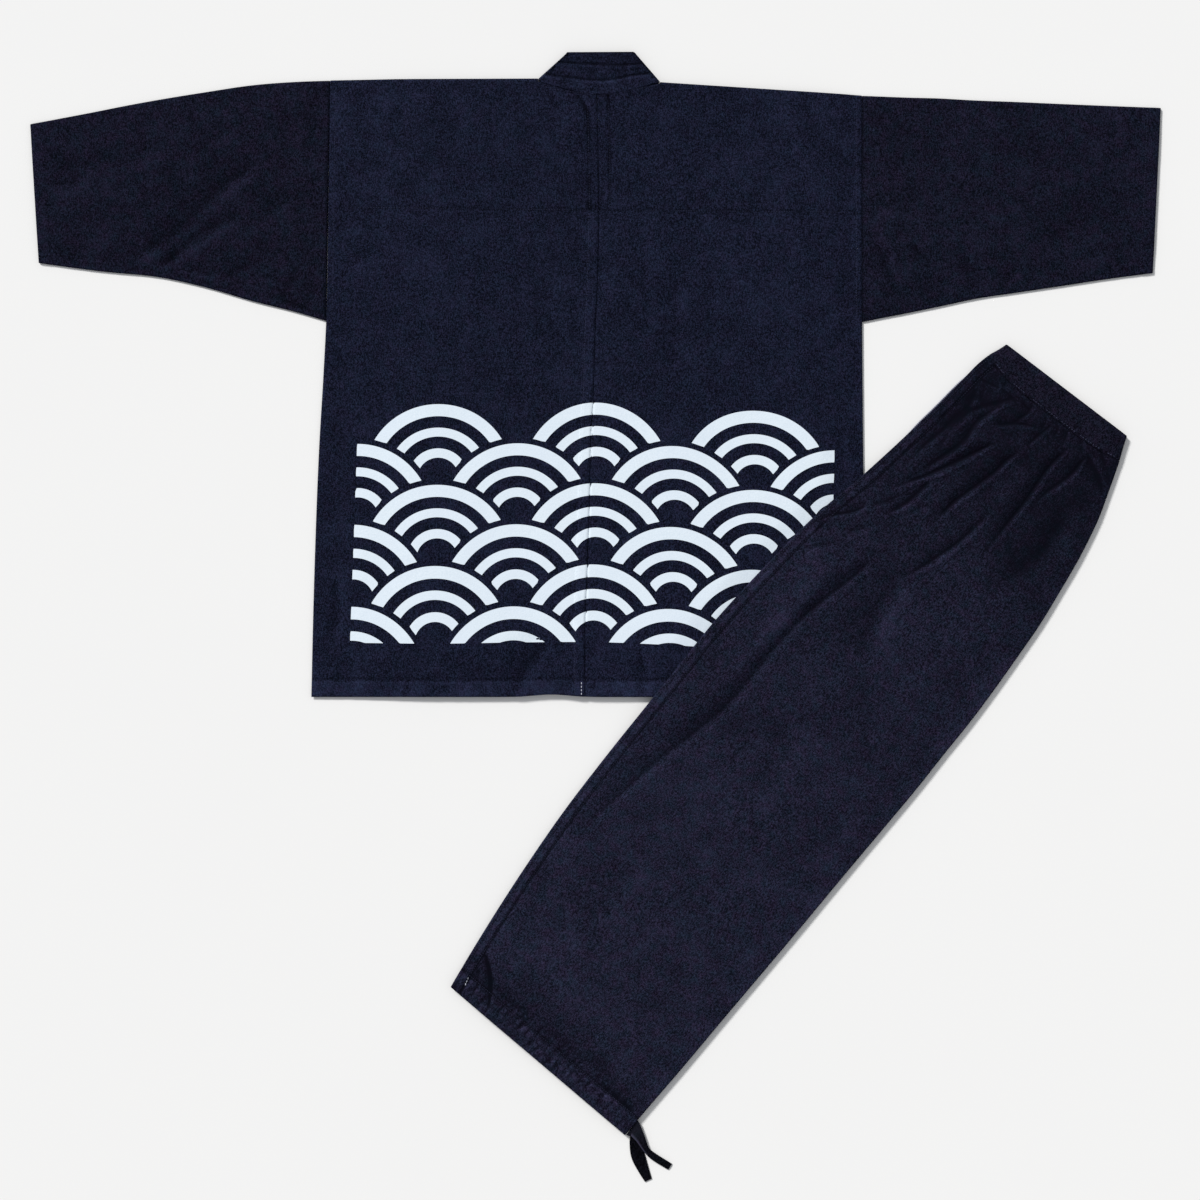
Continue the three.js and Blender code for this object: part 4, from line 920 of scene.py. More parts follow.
# ------------------------------------------------------------------ jacket: sleeves
def sleeve(side):
    left = side == "left"
    x0t, x0 = (-318.65, -323.4) if left else (319.85, 319.95)
    cuff_top, cuff_low = (-678.6, -668.4) if left else (678.6, 669.0)
    top_y, low_y = (curve(TOP_L), curve(UNDER_L)) if left else (curve(TOP_R), curve(UNDER_R))
    arm_len = abs(cuff_low - x0)
    a = spaced(arm_len, 2.1, [(0, 4, 1.0), (arm_len - 17, arm_len - 12, 1.2)])[:, None]
    xt, xb = x0t + (cuff_top - x0t) * a, x0 + (cuff_low - x0) * a
    yt, yb = top_y(xt), low_y(xb)
    edge = 1.35 / 230
    across = edge + (1 - 2 * edge) * spaced(250, 2.1, [(238, 245, 1.3)], (0.0, 1.2, 2.4))
    x, y = xt + (xb - xt) * across, yt + (yb - yt) * across
    from_arm, from_cuff = a * arm_len * np.ones_like(across), (1 - a) * arm_len * np.ones_like(across)
    de = np.minimum(across, 1 - across) * (yt - yb)
    loose = smooth(-3, 48, de) * smooth(2, 60, from_arm) * (0.35 + 0.65 * smooth(0, 70, from_cuff))
    puff = 2.4 + 0.6 * noise(x, y, 120, 11) + 0.4 * noise(x, y, 50, 12) + 0.13 * noise(x, y, 20, 13) + 0.05 * noise(x, y, 8, 14)
    z, wear_and_painted_light = creased(x, y, SLEEVE_CREASES)
    h = soft_floor(loose * puff + z * smooth(0, 22, de) * smooth(0, 14, from_arm), 0.0, 0.25)
    cuff = 1 - smooth(13.4, 15.4, from_cuff)
    h = h + 0.35 * cuff - 0.3 * np.exp(-(((from_cuff - 14.6) / 1.4) ** 2)) + 0.1 * cuff * noise(x, y, 9, 15, (3, 1))
    # painted shade in the cuff stitching's groove; the turned cuff lighter as worn
    wear_and_painted_light = wear_and_painted_light - 0.5 * np.exp(-(((from_cuff - 14.8) / 1.6) ** 2)) + 0.2 * cuff * (0.5 + noise(x, y, 7, 16))
    h = h - 0.55 * np.exp(-((from_arm / 1.9) ** 2))
    # painted shade in the armhole seam's groove; the folded edges lighter as worn
    wear_and_painted_light = wear_and_painted_light - 1.5 * np.exp(-((from_arm / 2.0) ** 2)) + 0.25 * np.exp(-((de / 3.0) ** 2))
    low = (1 - across) * (yt - yb)
    h = h - 0.22 * np.exp(-(((low - 7.5) / 1.3) ** 2)) + 0.15 * np.exp(-((low / 7) ** 2)) * noise(x, y, 8, 17)
    # painted shade in the underarm seam's groove
    wear_and_painted_light = wear_and_painted_light - 0.35 * np.exp(-(((low - 7.5) / 1.6) ** 2))
    m = WALL / 2
    top = np.stack([x, y, 2 * WALL + GAP - m + h], -1)
    below = np.linspace(1, 0, 26)
    bt = edge + (1 - 2 * edge) * below
    bx, by = xt + (xb - xt) * bt, yt + (yb - yt) * bt
    bottom = np.stack([bx, by, np.full_like(bx, m)], -1)

    def turn(sign):
        """The rounded edge between the two layers: below the top layer's last column, or above its first."""
        ex, ey = (xb, yb) if sign < 0 else (xt, yt)
        out = []
        hh = h[:, -1:] if sign < 0 else h[:, :1]
        r = 0.75 + hh / 2
        for deg in (60, 20, -20, -60):
            g = math.radians(deg)
            out.append(np.stack([ex, ey - sign * 1.35 + sign * 0.75 * math.cos(g), m + r + r * math.sin(g)], -1)[:, 0])
        return np.stack(out, 1)

    P = np.concatenate([top, turn(-1), bottom, turn(1)[:, ::-1]], 1)
    f = np.concatenate([wear_and_painted_light, np.repeat(wear_and_painted_light[:, -1:], 4, 1), np.zeros_like(bx), np.repeat(wear_and_painted_light[:, :1], 4, 1)], 1)
    taper = 0.36 + 0.64 * np.sqrt(np.clip(1 - (1 - np.clip(np.minimum(a, 1 - a) * arm_len / 1.1, 0, 1)) ** 2, 0, 1))
    o = shell("jacket_sleeve_" + side, P, WALL * taper * np.ones(P.shape[:2]), cloth_sleeve, f, wrap=True, outward=1 if left else -1, coarse=2)
    info = dict(x=x, y=y, z=top[..., 2] + m, cuff=from_cuff[:, 0])
    return o, info


sleeve_l, info_l = sleeve("left")
sleeve_r, info_r = sleeve("right")


# ------------------------------------------------------------------ jacket: overlap panels, collar, hidden ties
def okumi(side):
    left = side == "left"
    seam = collar_seam_l if left else collar_seam_r
    y = np.concatenate([[HEM_Y + 1, HEM_Y + 1.4, HEM_Y + 2.2], np.linspace(HEM_Y + 5, 476 if left else 453, 90), [478 if left else 455]])[:, None]
    edge = np.minimum(seam(y), FRONT_REACH) if left else np.maximum(seam(y), -FRONT_REACH)
    start = 0.15 if left else -0.15
    t = steps(152, 6)
    x = start + (edge - start) * t
    z = (0.0 if left else FRONT_LIFT) + WALL / 2 + np.zeros_like(x)
    T = thin_edges(t * 152, 152)[None, :] * np.where(y - HEM_Y < 1.2, 0.4, 1.0)
    P = np.stack([x, y + hem_rise(x, y), z], -1)
    o = shell("jacket_okumi_" + side, P, T, cloth_body, np.zeros(P.shape[:2]), outward=1 if left else -1)
    return o


okumi_l, okumi_r = okumi("left"), okumi("right")


def collar_rows():
    """The band's sections, close together: its seam edge, its free edge and the way its outer face looks."""
    rows = []
    back_mid = float(lift(0)) + BAND / 2

    def front(seam, mirror, z, ys):
        d = np.array([mirror * FRONT_SLANT, -1.0, 0.0])
        d /= np.linalg.norm(d)
        across = np.array([-d[1] * mirror, d[0] * mirror, 0.0])
        out = []
        for y in ys:
            p = np.array([seam(y), y, z]) + across * GAP
            out.append((p, p + across * COLLAR_W, np.array([0.0, 0, -1])))
        return out

    def turn(p, q, low, degs):
        p, q = np.array([*p, 0.0]), np.array([*q, 0.0])
        along = (q - p) / np.linalg.norm(q - p)
        out_dir = np.array([-along[1], along[0], 0.0])
        if out_dir[0] * p[0] < 0:
            out_dir = -out_dir
        r, mid = (back_mid - low) / 2, (back_mid + low) / 2
        res = []
        for deg in degs:
            g = math.radians(deg)
            shift = out_dir * (r * math.cos(g) - r - BAND / 2)
            lift_z = np.array([0, 0, mid + r * math.sin(g)])
            res.append((p + shift + lift_z, q + shift + lift_z, np.array([0, 0, math.sin(g)]) + out_dir * math.cos(g)))
        return res

    low_l, low_r = BAND / 2, FRONT_LIFT + BAND / 2
    ys = np.concatenate([[COLLAR_END_Y, COLLAR_END_Y + 0.5, COLLAR_END_Y + 1.4], np.linspace(126, 610, 60)])
    rows += front(collar_seam_l, 1, low_l, ys)
    rows += turn((-69.4, 645.8), (-34.2, 677.6), low_l, np.linspace(-90, 90, 13))
    back = [(-67.8, 643.0, -33.6), (-62.5, 641.35, -33.2), (-50, 637.55, -27.0), (-25, 631.2, -7.2), (3, 626.95, 6.5), (34, 630.7, 20.2), (58, 636.8, 36.8), (72.0, 640.95, 44.0), (76.3, 641.2, 45.2)]
    px, py, qx = curve([(i, b[0]) for i, b in enumerate(back)]), curve([(i, b[1]) for i, b in enumerate(back)]), curve([(i, b[2]) for i, b in enumerate(back)])
    for k in np.linspace(0, 8, 77):
        rows.append((np.array([px(k), py(k), back_mid]), np.array([qx(k), 678.0 + 0.5 * float(smooth(0, 8, k)), back_mid]), np.array([0, 0, 1.0])))
    rows += turn((77.5, 642.7), (46.4, 678.6), low_r, np.linspace(90, -90, 13))
    rows += front(collar_seam_r, -1, low_r, ys[::-1])
    return rows


def collar():
    rows = collar_rows()
    t = steps(48, 1.1, (0.0, 0.35, 0.9, 1.5))
    P = np.array([p + (q - p) * t[:, None] for p, q, _ in rows])
    N = np.array([np.repeat(n[None], len(t), 0) for _, _, n in rows])
    x, y = P[..., 0], P[..., 1]
    onback = smooth(0.3, 0.9, N[..., 2])
    T = np.array([thin_edges(t * 48, 48, BAND)] * len(rows))
    T[0], T[-1], T[1], T[-2] = T[0] * 0.4, T[-1] * 0.4, T[1] * 0.75, T[-2] * 0.75
    # two lengthwise steps where the band is folded and stitched, soft ripples between them
    upper, lower = at([(548, 61.5), (562, 62.7), (590, 64.2), (612, 65.2), (632, 64.6), (652, 63)]), at([(545, 74), (559, 76.5), (583, 79), (600, 80.5), (615, 79), (632, 75.6), (652, 73)])
    du, _ = to_line(x, y, soften(upper, 3))
    dl, _ = to_line(x, y, soften(lower, 3))
    h = -0.75 * np.exp(-((du / 1.5) ** 2)) + 0.5 * np.exp(-(((du + 3.2) / 2.4) ** 2)) - 0.65 * np.exp(-((dl / 1.4) ** 2)) + 0.55 * np.exp(-(((dl + 3.6) / 3.0) ** 2))
    h += 0.3 * noise(x, y, 13, 41, (1.6, 1)) + 0.14 * noise(x, y, 5, 42)
    dc, _ = to_line(x, y, at([(598.5, 50), (598, 92)]))
    h += -0.35 * np.exp(-((dc / 1.3) ** 2)) + 0.25 * np.exp(-(((dc - 6) / 5) ** 2))
    # painted shade in the grooves of the two folded steps and painted highlight just beside each, with a step in tone
    # across each line
    wear_and_painted_light = onback * (-2.0 * np.exp(-((du / 1.6) ** 2)) + 0.4 * np.exp(-(((du + 3) / 2.2) ** 2)) - 2.2 * np.exp(-((dl / 1.5) ** 2)) + 0.9 * np.exp(-(((dl + 3.2) / 2.4) ** 2)) + 0.5 * noise(x, y, 6, 43) - 0.4)
    wear_and_painted_light = wear_and_painted_light + onback * (-0.35 * smooth(-1, 1, du) + 0.15 + 0.3 * smooth(-1, 1, -dl))
    inside = smooth(0, 4, np.minimum(t, 1 - t) * 48)[None, :]
    P = P + N * (h * onback * inside * 0.9)[..., None]
    mid = np.ones(P.shape[:2])
    return shell("jacket_collar", P, T * mid, cloth_body, wear_and_painted_light, outward=1, normals=N)


collar_o = collar()


def strip(name, rows, thick, material, pitch=1.6, seed=3, wave=0.0, wear_and_highlight=None):
    """A flat tie: rows of (x, y, z of its underside, width), rounded along its edges, with a painted highlight along
    both long edges. The last argument, a function of (u, t), adds to its wear and painted light, u along its rows and t
    across, -0.5 to 0.5.
    """
    rows = np.asarray(rows, float)
    k = np.arange(len(rows))
    n = int(np.linalg.norm(np.diff(rows[:, :2], axis=0), axis=1).sum() / pitch)
    u = np.concatenate([[0, 0.02, 0.07], np.linspace(0.15, len(rows) - 1.15, n), [len(rows) - 1.07, len(rows) - 1.02, len(rows) - 1]])
    c = np.stack([curve([(i, r[j]) for i, r in zip(k, rows)])(u) for j in range(4)], -1)
    d = np.gradient(c[:, :2], axis=0)
    d /= np.linalg.norm(d, axis=1, keepdims=True)
    side = np.stack([-d[:, 1], d[:, 0]], -1)
    t = steps(10, 1.0, (0.0, 0.3, 0.8)) - 0.5
    P = np.zeros((len(u), len(t), 3))
    P[..., :2] = c[:, None, :2] + side[:, None, :] * (t[None, :, None] * c[:, None, 3:4])
    ripple = wave * (0.5 + 0.5 * np.sin(u[:, None] * 2.6 + seed)) * (1 - (2 * t[None, :]) ** 2)
    P[..., 2] = c[:, None, 2] + thick / 2 + ripple
    T = thin_edges((t + 0.5) * 10, 10, thick)[None, :] * np.clip(np.minimum(u, len(rows) - 1 - u)[:, None] * 12, 0.4, 1)
    # painted highlight along both long edges
    f = np.clip(1 - (0.5 - np.abs(t[None, :])) * 8, 0, 1) * 0.4 + np.zeros((len(u), 1))
    if wear_and_highlight is not None:
        f = f + wear_and_highlight(u[:, None], t[None, :])
    return shell(name, P, T, material, f, outward=-1)


tie_edge = strip("jacket_tie_front_edge", [(203, 126, 0, 14), (214, 84, 0, 14), (222, 36, 0, 14), (221, -14, 0, 14), (213, -62, 0, 14)], TIE_T, cloth_body)
tie_side = strip("jacket_tie_side", [(282, 132, 0, 14), (276, 88, 0, 14), (264, 42, 0, 14), (258, -8, 0, 14), (262, -58, 0, 14)], TIE_T, cloth_body)


# ------------------------------------------------------------------ trousers
def upper_leg():
    s0, s1 = BAND_H + 0.3, LEG_LEN
    span = s1 - s0
    s = (s0 + span * spaced(span, 6.0, [(0, 306, 1.65), (span - 62, span, 2.2), (span - 28, span - 22, 1.1)]))[:, None]
    w0, w1 = inner_w(s), outer_w(s)
    across = spaced(290, 1.72, [(1, 16, 1.3)], (0.0, 0.9, 2.0))
    end = WALL + GAP / 2
    w = w0 + end + (w1 - w0 - 2 * end) * across
    base, h, wear_and_painted_light = leg_top(s * np.ones_like(w), w)
    x, y = xy_of(s, w)
    m = WALL / 2
    top = np.stack([x, y, base + h - m], -1)
    bw = w0 + end + (w1 - w0 - 2 * end) * np.linspace(1, 0, 22)
    bx, by = xy_of(s, bw)
    bottom = np.stack([bx, by, leg_ground(bx, by) + UNDER_T + GAP + m], -1)

    def turn(outer):
        we = w1 if outer else w0
        sign = 1 if outer else -1
        hh = (h[:, -1:] if outer else h[:, :1])
        r = 0.75 + hh / 2
        g0 = leg_ground(*xy_of(s, we)) + UNDER_T + GAP + m
        out = []
        for deg in (60, 20, -20, -60):
            a = math.radians(deg)
            xx, yy = xy_of(s, we - sign * end + sign * (0.75 + 0.1 * hh) * math.cos(a))
            out.append(np.stack([xx, yy, g0 + r + r * math.sin(a)], -1)[:, 0])
        return np.stack(out, 1)

    P = np.concatenate([top, turn(True), bottom, turn(False)[:, ::-1]], 1)
    f = np.concatenate([wear_and_painted_light, np.repeat(wear_and_painted_light[:, -1:], 4, 1), np.zeros_like(bw), np.repeat(wear_and_painted_light[:, :1], 4, 1)], 1)
    d = np.minimum(s - s0, s1 - s)
    taper = 0.36 + 0.64 * np.sqrt(np.clip(1 - (1 - np.clip(d / 1.1, 0, 1)) ** 2, 0, 1))
    return shell("trousers_leg_upper", P, WALL * taper * np.ones(P.shape[:2]), cloth_leg, f, wrap=True, outward=-1, coarse=2)


leg_u = upper_leg()


def lower_leg():
    """Two hidden layers as one body; its edges show as two rounded plies."""
    s = (BAND_H + 0.3 + (1013 - BAND_H) * steps(1013 - BAND_H, 6.0))[:, None]
    peek = 3.2 * smooth(40, 90, s) * (1 - smooth(130, 185, s)) - 2.0
    w0, w1 = inner_w(s) - peek, outer_w(s) - 2.0
    k = np.linspace(0.004, 0.996, 40)
    w = w0 + (w1 - w0) * k
    x, y = xy_of(s, w)
    g = leg_ground(x, y)
    top = np.stack([x, y, g + UNDER_T], -1)
    low = np.stack([x, y, g], -1)[:, ::-1]

    def edge(wn, sign):
        prof = [(0.55, 2.85), (0.15, 2.5), (0.0, 2.2), (0.15, 1.8), (0.9, 1.5), (0.15, 1.2), (0.0, 0.8), (0.15, 0.45), (0.55, 0.12)]
        cols = []
        for back, z in prof:
            ww = wn + sign * (-back)
            xx, yy = xy_of(s, ww)
            cols.append(np.stack([xx, yy, leg_ground(xx, yy) + z], -1)[:, 0])
        return np.stack(cols, 1)

    P = np.concatenate([top, edge(w1, 1), low, edge(w0, -1)[:, ::-1]], 1)
    R, C = P.shape[:2]
    n = 40
    idx = np.arange(R * C).reshape(R, C)
    nxt = np.roll(idx, -1, 1)
    q = np.stack([idx[:-1], nxt[:-1], nxt[1:], idx[1:]], -1).reshape(-1, 4)
    # caps: each end's top row to its bottom row, and the plies' edges to their middle
    faces, tris = [q], []
    for row, up in ((idx[0], False), (idx[-1], True)):
        t_, e1, l_, e0 = row[:n], row[n:n + 9], row[n + 9:2 * n + 9], row[2 * n + 9:]
        l_ = l_[::-1]
        cap = np.stack([t_[:-1], t_[1:], l_[1:], l_[:-1]], -1)
        faces.append(cap if not up else cap[:, ::-1])
        for ring in ([t_[-1], *e1, l_[-1]], [l_[0], *e0, t_[0]]):
            for i in range(1, len(ring) - 1):
                tri = (ring[0], ring[i], ring[i + 1])
                tris.append(tri[::-1] if up else tri)
    wear_and_painted_light = np.full(R * C, 0.25)
    o = make_object("trousers_leg_lower", P.reshape(-1, 3), np.concatenate(faces), cloth_under, wear_and_painted_light, tris=tris)
    return o


leg_l = lower_leg()


def waistband():
    pitch = ELASTIC + GAP
    r1, r3 = pitch / 2, pitch * 1.5
    level = [ELASTIC / 2 + i * pitch for i in range(4)]
    s = (0.0 + (BAND_H - 0.15) * steps(BAND_H - 0.15, 1.6, (0.0, 0.4, 1.0)))
    rings, wear_and_painted_light_rows = [], []
    for si in s:
        a = -91.2 - 8.6 * si / BAND_H + r3 + ELASTIC / 2
        b = 90.4 + 11.4 * si / BAND_H - r1 - ELASTIC / 2
        run = []

        def straight(w0, w1, z, n=60):
            for t in np.linspace(0, 1, n):
                run.append((w0 + (w1 - w0) * t, z))

        def turn(w, z, r, g0, g1, n):
            for i in range(1, n):
                g = math.radians(g0 + (g1 - g0) * i / n)
                run.append((w + r * math.cos(g), z + r * math.sin(g)))

        straight(a, b, level[0], 24)
        turn(b, level[0] + r1, r1, -90, 90, 6)
        straight(b, a + 1.2, level[1], 24)
        turn(a + 1.2, level[1] + r1, r1, 270, 90, 6)
        straight(a + 1.2, b, level[2], 24)
        turn(b, level[2] + r1, r1, -90, 90, 6)
        top0 = len(run)
        straight(b, a, level[3], 90)
        top1 = len(run)
        turn(a, (level[0] + level[3]) / 2, r3, 90, 270, 10)
        run = np.array(run)
        w, z = run[:, 0], run[:, 1].copy()
        # ripples of the elastic on the face that shows, none at the band's edges
        inside = math.sin(math.pi * min(1, max(0, si / BAND_H))) ** 0.6
        mask = np.zeros(len(run))
        mask[top0:top1] = np.minimum(1, np.sin(np.linspace(0, np.pi, top1 - top0)) * 4)
        bump = 0.75 + 0.5 * noise(w, np.full_like(w, si * 0.25), 9, 51) + 0.35 * noise(w, np.full_like(w, si), 22, 52)
        z += mask * inside * bump * 0.9
        z += mask * (-0.35 * math.exp(-(((si - 28.6) / 1.1) ** 2)))
        x, y = xy_of(np.full_like(w, si), w)
        rings.append(np.stack([x, y, z], -1))
        # painted highlight on the elastic's raised ripples and painted shade in the stitching's groove; a little
        # lighter at the band's edge, darker overall
        wear_and_painted_light_rows.append(mask * (0.35 * (bump - 0.75) - 1.0 * math.exp(-(((si - 29.0) / 1.3) ** 2)) + 0.3 * math.exp(-((si / 1.5) ** 2))) - 0.15)
    P = np.array(rings)
    taper = np.interp(np.minimum(s, s[-1] - s), [0, 0.4, 1.0], [0.4, 0.8, 1.0])[:, None]
    return shell("trousers_waistband", P, ELASTIC * taper * np.ones(P.shape[:2]), cloth_band, np.array(wear_and_painted_light_rows), wrap=True, outward=1)


band = waistband()

tie_a = strip(
    "trousers_hem_tie_long",
    [(47.2, -619.0, 0, 10), (47.6, -631.0, 0, 13.5), (51.2, -647.0, 0, 16.5), (58.0, -664.0, 0, 12.8), (63.5, -676.0, 0, 9)],
    TIE_T, cloth_tie, wave=0.4, seed=1, wear_and_highlight=lambda u, t: 0.5 * smooth(2.2, 4, u) - 0.4,
)
tie_b = strip(
    "trousers_hem_tie_short",
    [(43.7, -612.0, 2.8, 22), (45.9, -613.7, 2.7, 19), (53.2, -624.4, 2.4, 12.5), (60.9, -638.6, 2.1, 7.8), (69.4, -646.8, 1.3, 8.6), (89.6, -659.8, 0, 8.6)],
    TIE_T, cloth_tie, wave=0.5, seed=2,
    # painted highlight along one raised edge; much lighter near the start
    wear_and_highlight=lambda u, t: 3.5 * (1 - smooth(0.8, 3.2, u)) + 22 * np.exp(-(((t + 0.40) / 0.08) ** 2)) * smooth(0.6, 1.2, u) * (1 - smooth(3.0, 3.8, u)),
)


# ------------------------------------------------------------------ the wave band, printed over both back panels
WAVE_ROWS = [(404.2, 1.0), (444.5, 1.0), (484.8, 1.0), (525.4, 1.02), (565.9, 1.045), (607.4, 1.045)]  # in layout units: the top of each row, how much taller than round it is
WAVE_RINGS = [(62.25, 74.25), (41.9, 50.8), (20.8, 30.1)]  # one wave's three rings
WAVE_PITCH, WAVE_MASK, WAVE_DROP = 158.5, 80.0, 74.5
WAVE_FIRST = [0, 0.6, 0, 3.6, 0, 2.8]  # how much further left each row's first wave is
WAVE_SAG = [(330, -1.0), (358, -0.8), (438, -0.1), (518, -1.3), (597, -1.6), (677, 1.7), (754, 6.5), (834, 6.4), (870, 6.0)]  # how the cloth lies: x, drop


def waves():
    """Overlapping circles of three rings, each row covering the one above it. A circle's visible part is a ring's span along each ray, cut short by
    the circles that cover it and by the straight edges of the band and the seam."""
    sag = curve(WAVE_SAG)
    slide = lambda row: -0.3 * row - 0.12 * row * row
    centres = []
    for row, (top, _) in enumerate(WAVE_ROWS):
        for col in range(0, 5):
            cx = 438.3 + WAVE_PITCH * (col - 0.5 * (row % 2)) + slide(row) - (WAVE_FIRST[row] if col == 0 else 0)
            centres.append((cx, top + WAVE_DROP, row))
    # half-planes a x + b y <= c: left, right and lower edges; then each side of the seam
    edges = [(-1, -0.036, -357.2 - 0.036 * 443), (1, 0.025, 834.3 + 0.025 * 455)]
    seam = (1, 0.0356, 593.4 + 0.0356 * 404)
    sides = [edges + [(seam[0], seam[1], seam[2] - 0.03)], edges + [(-seam[0], -seam[1], -seam[2] - 0.03)]]
    verts, quads = [], []
    count = 0
    for cx, cy, row in centres:
        row_y, tall = WAVE_ROWS[row]
        covers = []  # the circles over this one, as this row's own stretch sees them: x, y, height over width
        for ox, oy, orow in centres:
            if orow > row and math.hypot(ox - cx, oy - cy) < 2 * WAVE_MASK:
                o_top, o_tall = WAVE_ROWS[orow]
                covers.append((ox, row_y + (o_top + WAVE_DROP * o_tall - row_y) / tall, o_tall / tall))
        bottom = (0, 1, row_y + (643.7 - row_y) / tall)
        for r_in, r_out in WAVE_RINGS:
            n = max(160, int(math.pi * r_out * U / 0.5))
            theta = np.linspace(0, math.pi, n + 1)
            ux, uy = np.cos(theta), -np.sin(theta)
            inner, outer = np.full(theta.shape, r_in), np.full(theta.shape, r_out)
            for ox, oy, high in covers:
                dx, dy, vy = ox - cx, (oy - cy) / high, uy / high
                size = ux * ux + vy * vy
                b = (ux * dx + vy * dy) / size
                disc = b * b - (dx * dx + dy * dy - WAVE_MASK**2) / size
                near, far = b - np.sqrt(np.maximum(disc, 0)), b + np.sqrt(np.maximum(disc, 0))
                hit = (disc > 0) & (far > 0)
                outer, inner = np.where(hit & (near > r_in), np.minimum(outer, near), outer), np.where(hit & (near <= r_in), np.maximum(inner, far), inner)
            for planes in sides:
                lo, hi = inner.copy(), outer.copy()
                for a, b, c in planes + [bottom]:
                    m, q = a * ux + b * uy, c - a * cx - b * cy
                    safe = np.where(np.abs(m) < 1e-9, 1e-9, m)
                    hi = np.where(m > 0, np.minimum(hi, q / safe), hi)
                    lo = np.where(m < 0, np.maximum(lo, q / safe), lo)
                seen = hi - lo > 0.05
                runs = np.flatnonzero(np.diff(np.concatenate([[0], seen.astype(int), [0]])))
                for first, last in zip(runs[::2], runs[1::2]):
                    if last - first < 5:
                        continue
                    ids = np.arange(first, last)
                    keep = np.unique(np.concatenate([ids[:3], ids[::4], ids[-3:]]))
                    k = np.linspace(0, 1, max(2, int(math.ceil((r_out - r_in) * U / 2.6))) + 1)
                    rr = lo[keep][:, None] + (hi[keep] - lo[keep])[:, None] * k
                    px, py = cx + ux[keep][:, None] * rr, cy + uy[keep][:, None] * rr
                    py = row_y + (py - row_y) * tall + sag(px) * (1 - 0.11 * row * smooth(690, 754, px))
                    xy = at(np.stack([px, py], -1))
                    R, C = xy.shape[:2]
                    h, _ = back_height(xy[..., 0], xy[..., 1])
                    top = np.concatenate([xy, (h + 0.16)[..., None]], -1).reshape(-1, 3)
                    low = np.concatenate([xy, (h - 0.25)[..., None]], -1).reshape(-1, 3)
                    idx = np.arange(R * C).reshape(R, C) + count
                    q = np.stack([idx[:-1, :-1], idx[1:, :-1], idx[1:, 1:], idx[:-1, 1:]], -1).reshape(-1, 4)
                    nn = R * C
                    quads += [q[:, ::-1], q + nn]
                    loop = np.concatenate([idx[0], idx[1:, -1], idx[-1, -2::-1], idx[-2:0:-1, 0]])
                    nx = np.roll(loop, -1)
                    quads.append(np.stack([loop, loop + nn, nx + nn, nx], -1)[:, ::-1])
                    verts += [top, low]
                    count += 2 * nn
    return make_object("jacket_wave_print", np.concatenate(verts), np.concatenate(quads), ink_white, round_faces=False)


wave_print = waves()


# ------------------------------------------------------------------ stitches, as joined arrays
def stitch_rows(name, runs, material):
    """Small flattened threads laid end to end. A run is (points (n,3) mm on the cloth, pitch, length, width, height).
    """
    ring = [(0.0, 0.0, 0.0), (0.22, 0.8, 0.75), (0.78, 0.8, 0.75)]
    V, Q, T = [], [], []
    count = 0
    for pts, pitch, length, width, height in runs:
        pts = np.asarray(pts, float)
        along = np.concatenate([[0], np.cumsum(np.linalg.norm(np.diff(pts, axis=0), axis=1))])
        n = int(along[-1] / pitch)
        if n < 1:
            continue
        a = (np.arange(n) + 0.1) * pitch
        p0 = np.stack([np.interp(a, along, pts[:, k]) for k in range(3)], -1)
        p1 = np.stack([np.interp(a + length, along, pts[:, k]) for k in range(3)], -1)
        d = p1 - p0
        d /= np.maximum(np.linalg.norm(d, axis=1, keepdims=True), 1e-9)
        sd = np.stack([-d[:, 1], d[:, 0], np.zeros(n)], -1)
        sd /= np.maximum(np.linalg.norm(sd, axis=1, keepdims=True), 1e-9)
        up = np.cross(d, sd)
        up *= np.where(up[:, 2:] < 0, -1, 1)
        verts = [p0 - up * 0.15]
        for f, ww, hh in ((0.2, 0.85, 0.8), (0.8, 0.85, 0.8)):
            c = p0 + (p1 - p0) * f
            verts += [c + sd * width / 2 * ww, c + up * height * hh, c - sd * width / 2 * ww, c - up * 0.3]
        verts.append(p1 - up * 0.15)
        verts = np.stack(verts, 1)  # n, 10, 3
        base = count + np.arange(n)[:, None] * 10
        for i in range(4):
            j = (i + 1) % 4
            T.append(base + np.array([0, 1 + j, 1 + i]))
            Q.append(base + np.array([1 + i, 1 + j, 5 + j, 5 + i]))
            T.append(base + np.array([9, 5 + i, 5 + j]))
        V.append(verts.reshape(-1, 3))
        count += n * 10
    return make_object(name, np.concatenate(V), np.concatenate(Q), material, tris=np.concatenate(T))


def on_back(xy, rise=0.05, n=4.0):
    """A line of row-frame points laid on the jacket's back."""
    xy = np.asarray(xy, float)
    along = np.concatenate([[0], np.cumsum(np.linalg.norm(np.diff(xy, axis=0), axis=1))])
    a = np.linspace(0, along[-1], max(2, int(along[-1] / n)))
    x, y = np.interp(a, along, xy[:, 0]), np.interp(a, along, xy[:, 1])
    return np.stack([x, y, back_height(x, y)[0] + rise], -1)


def on_leg(s, w, rise=0.05):
    s, w = np.broadcast_arrays(np.asarray(s, float), np.asarray(w, float))
    base, h, _ = leg_top(s, w)
    x, y = xy_of(s, w)
    return np.stack([x, y, base + h + rise], -1)


def outside_leg(pts):
    """The part of a run that the trousers don't cover."""
    s, w = leg_sw(pts[:, 0], pts[:, 1])
    keep = (w < inner_w(s) - 1.5) | (s < 25)
    return pts[keep]


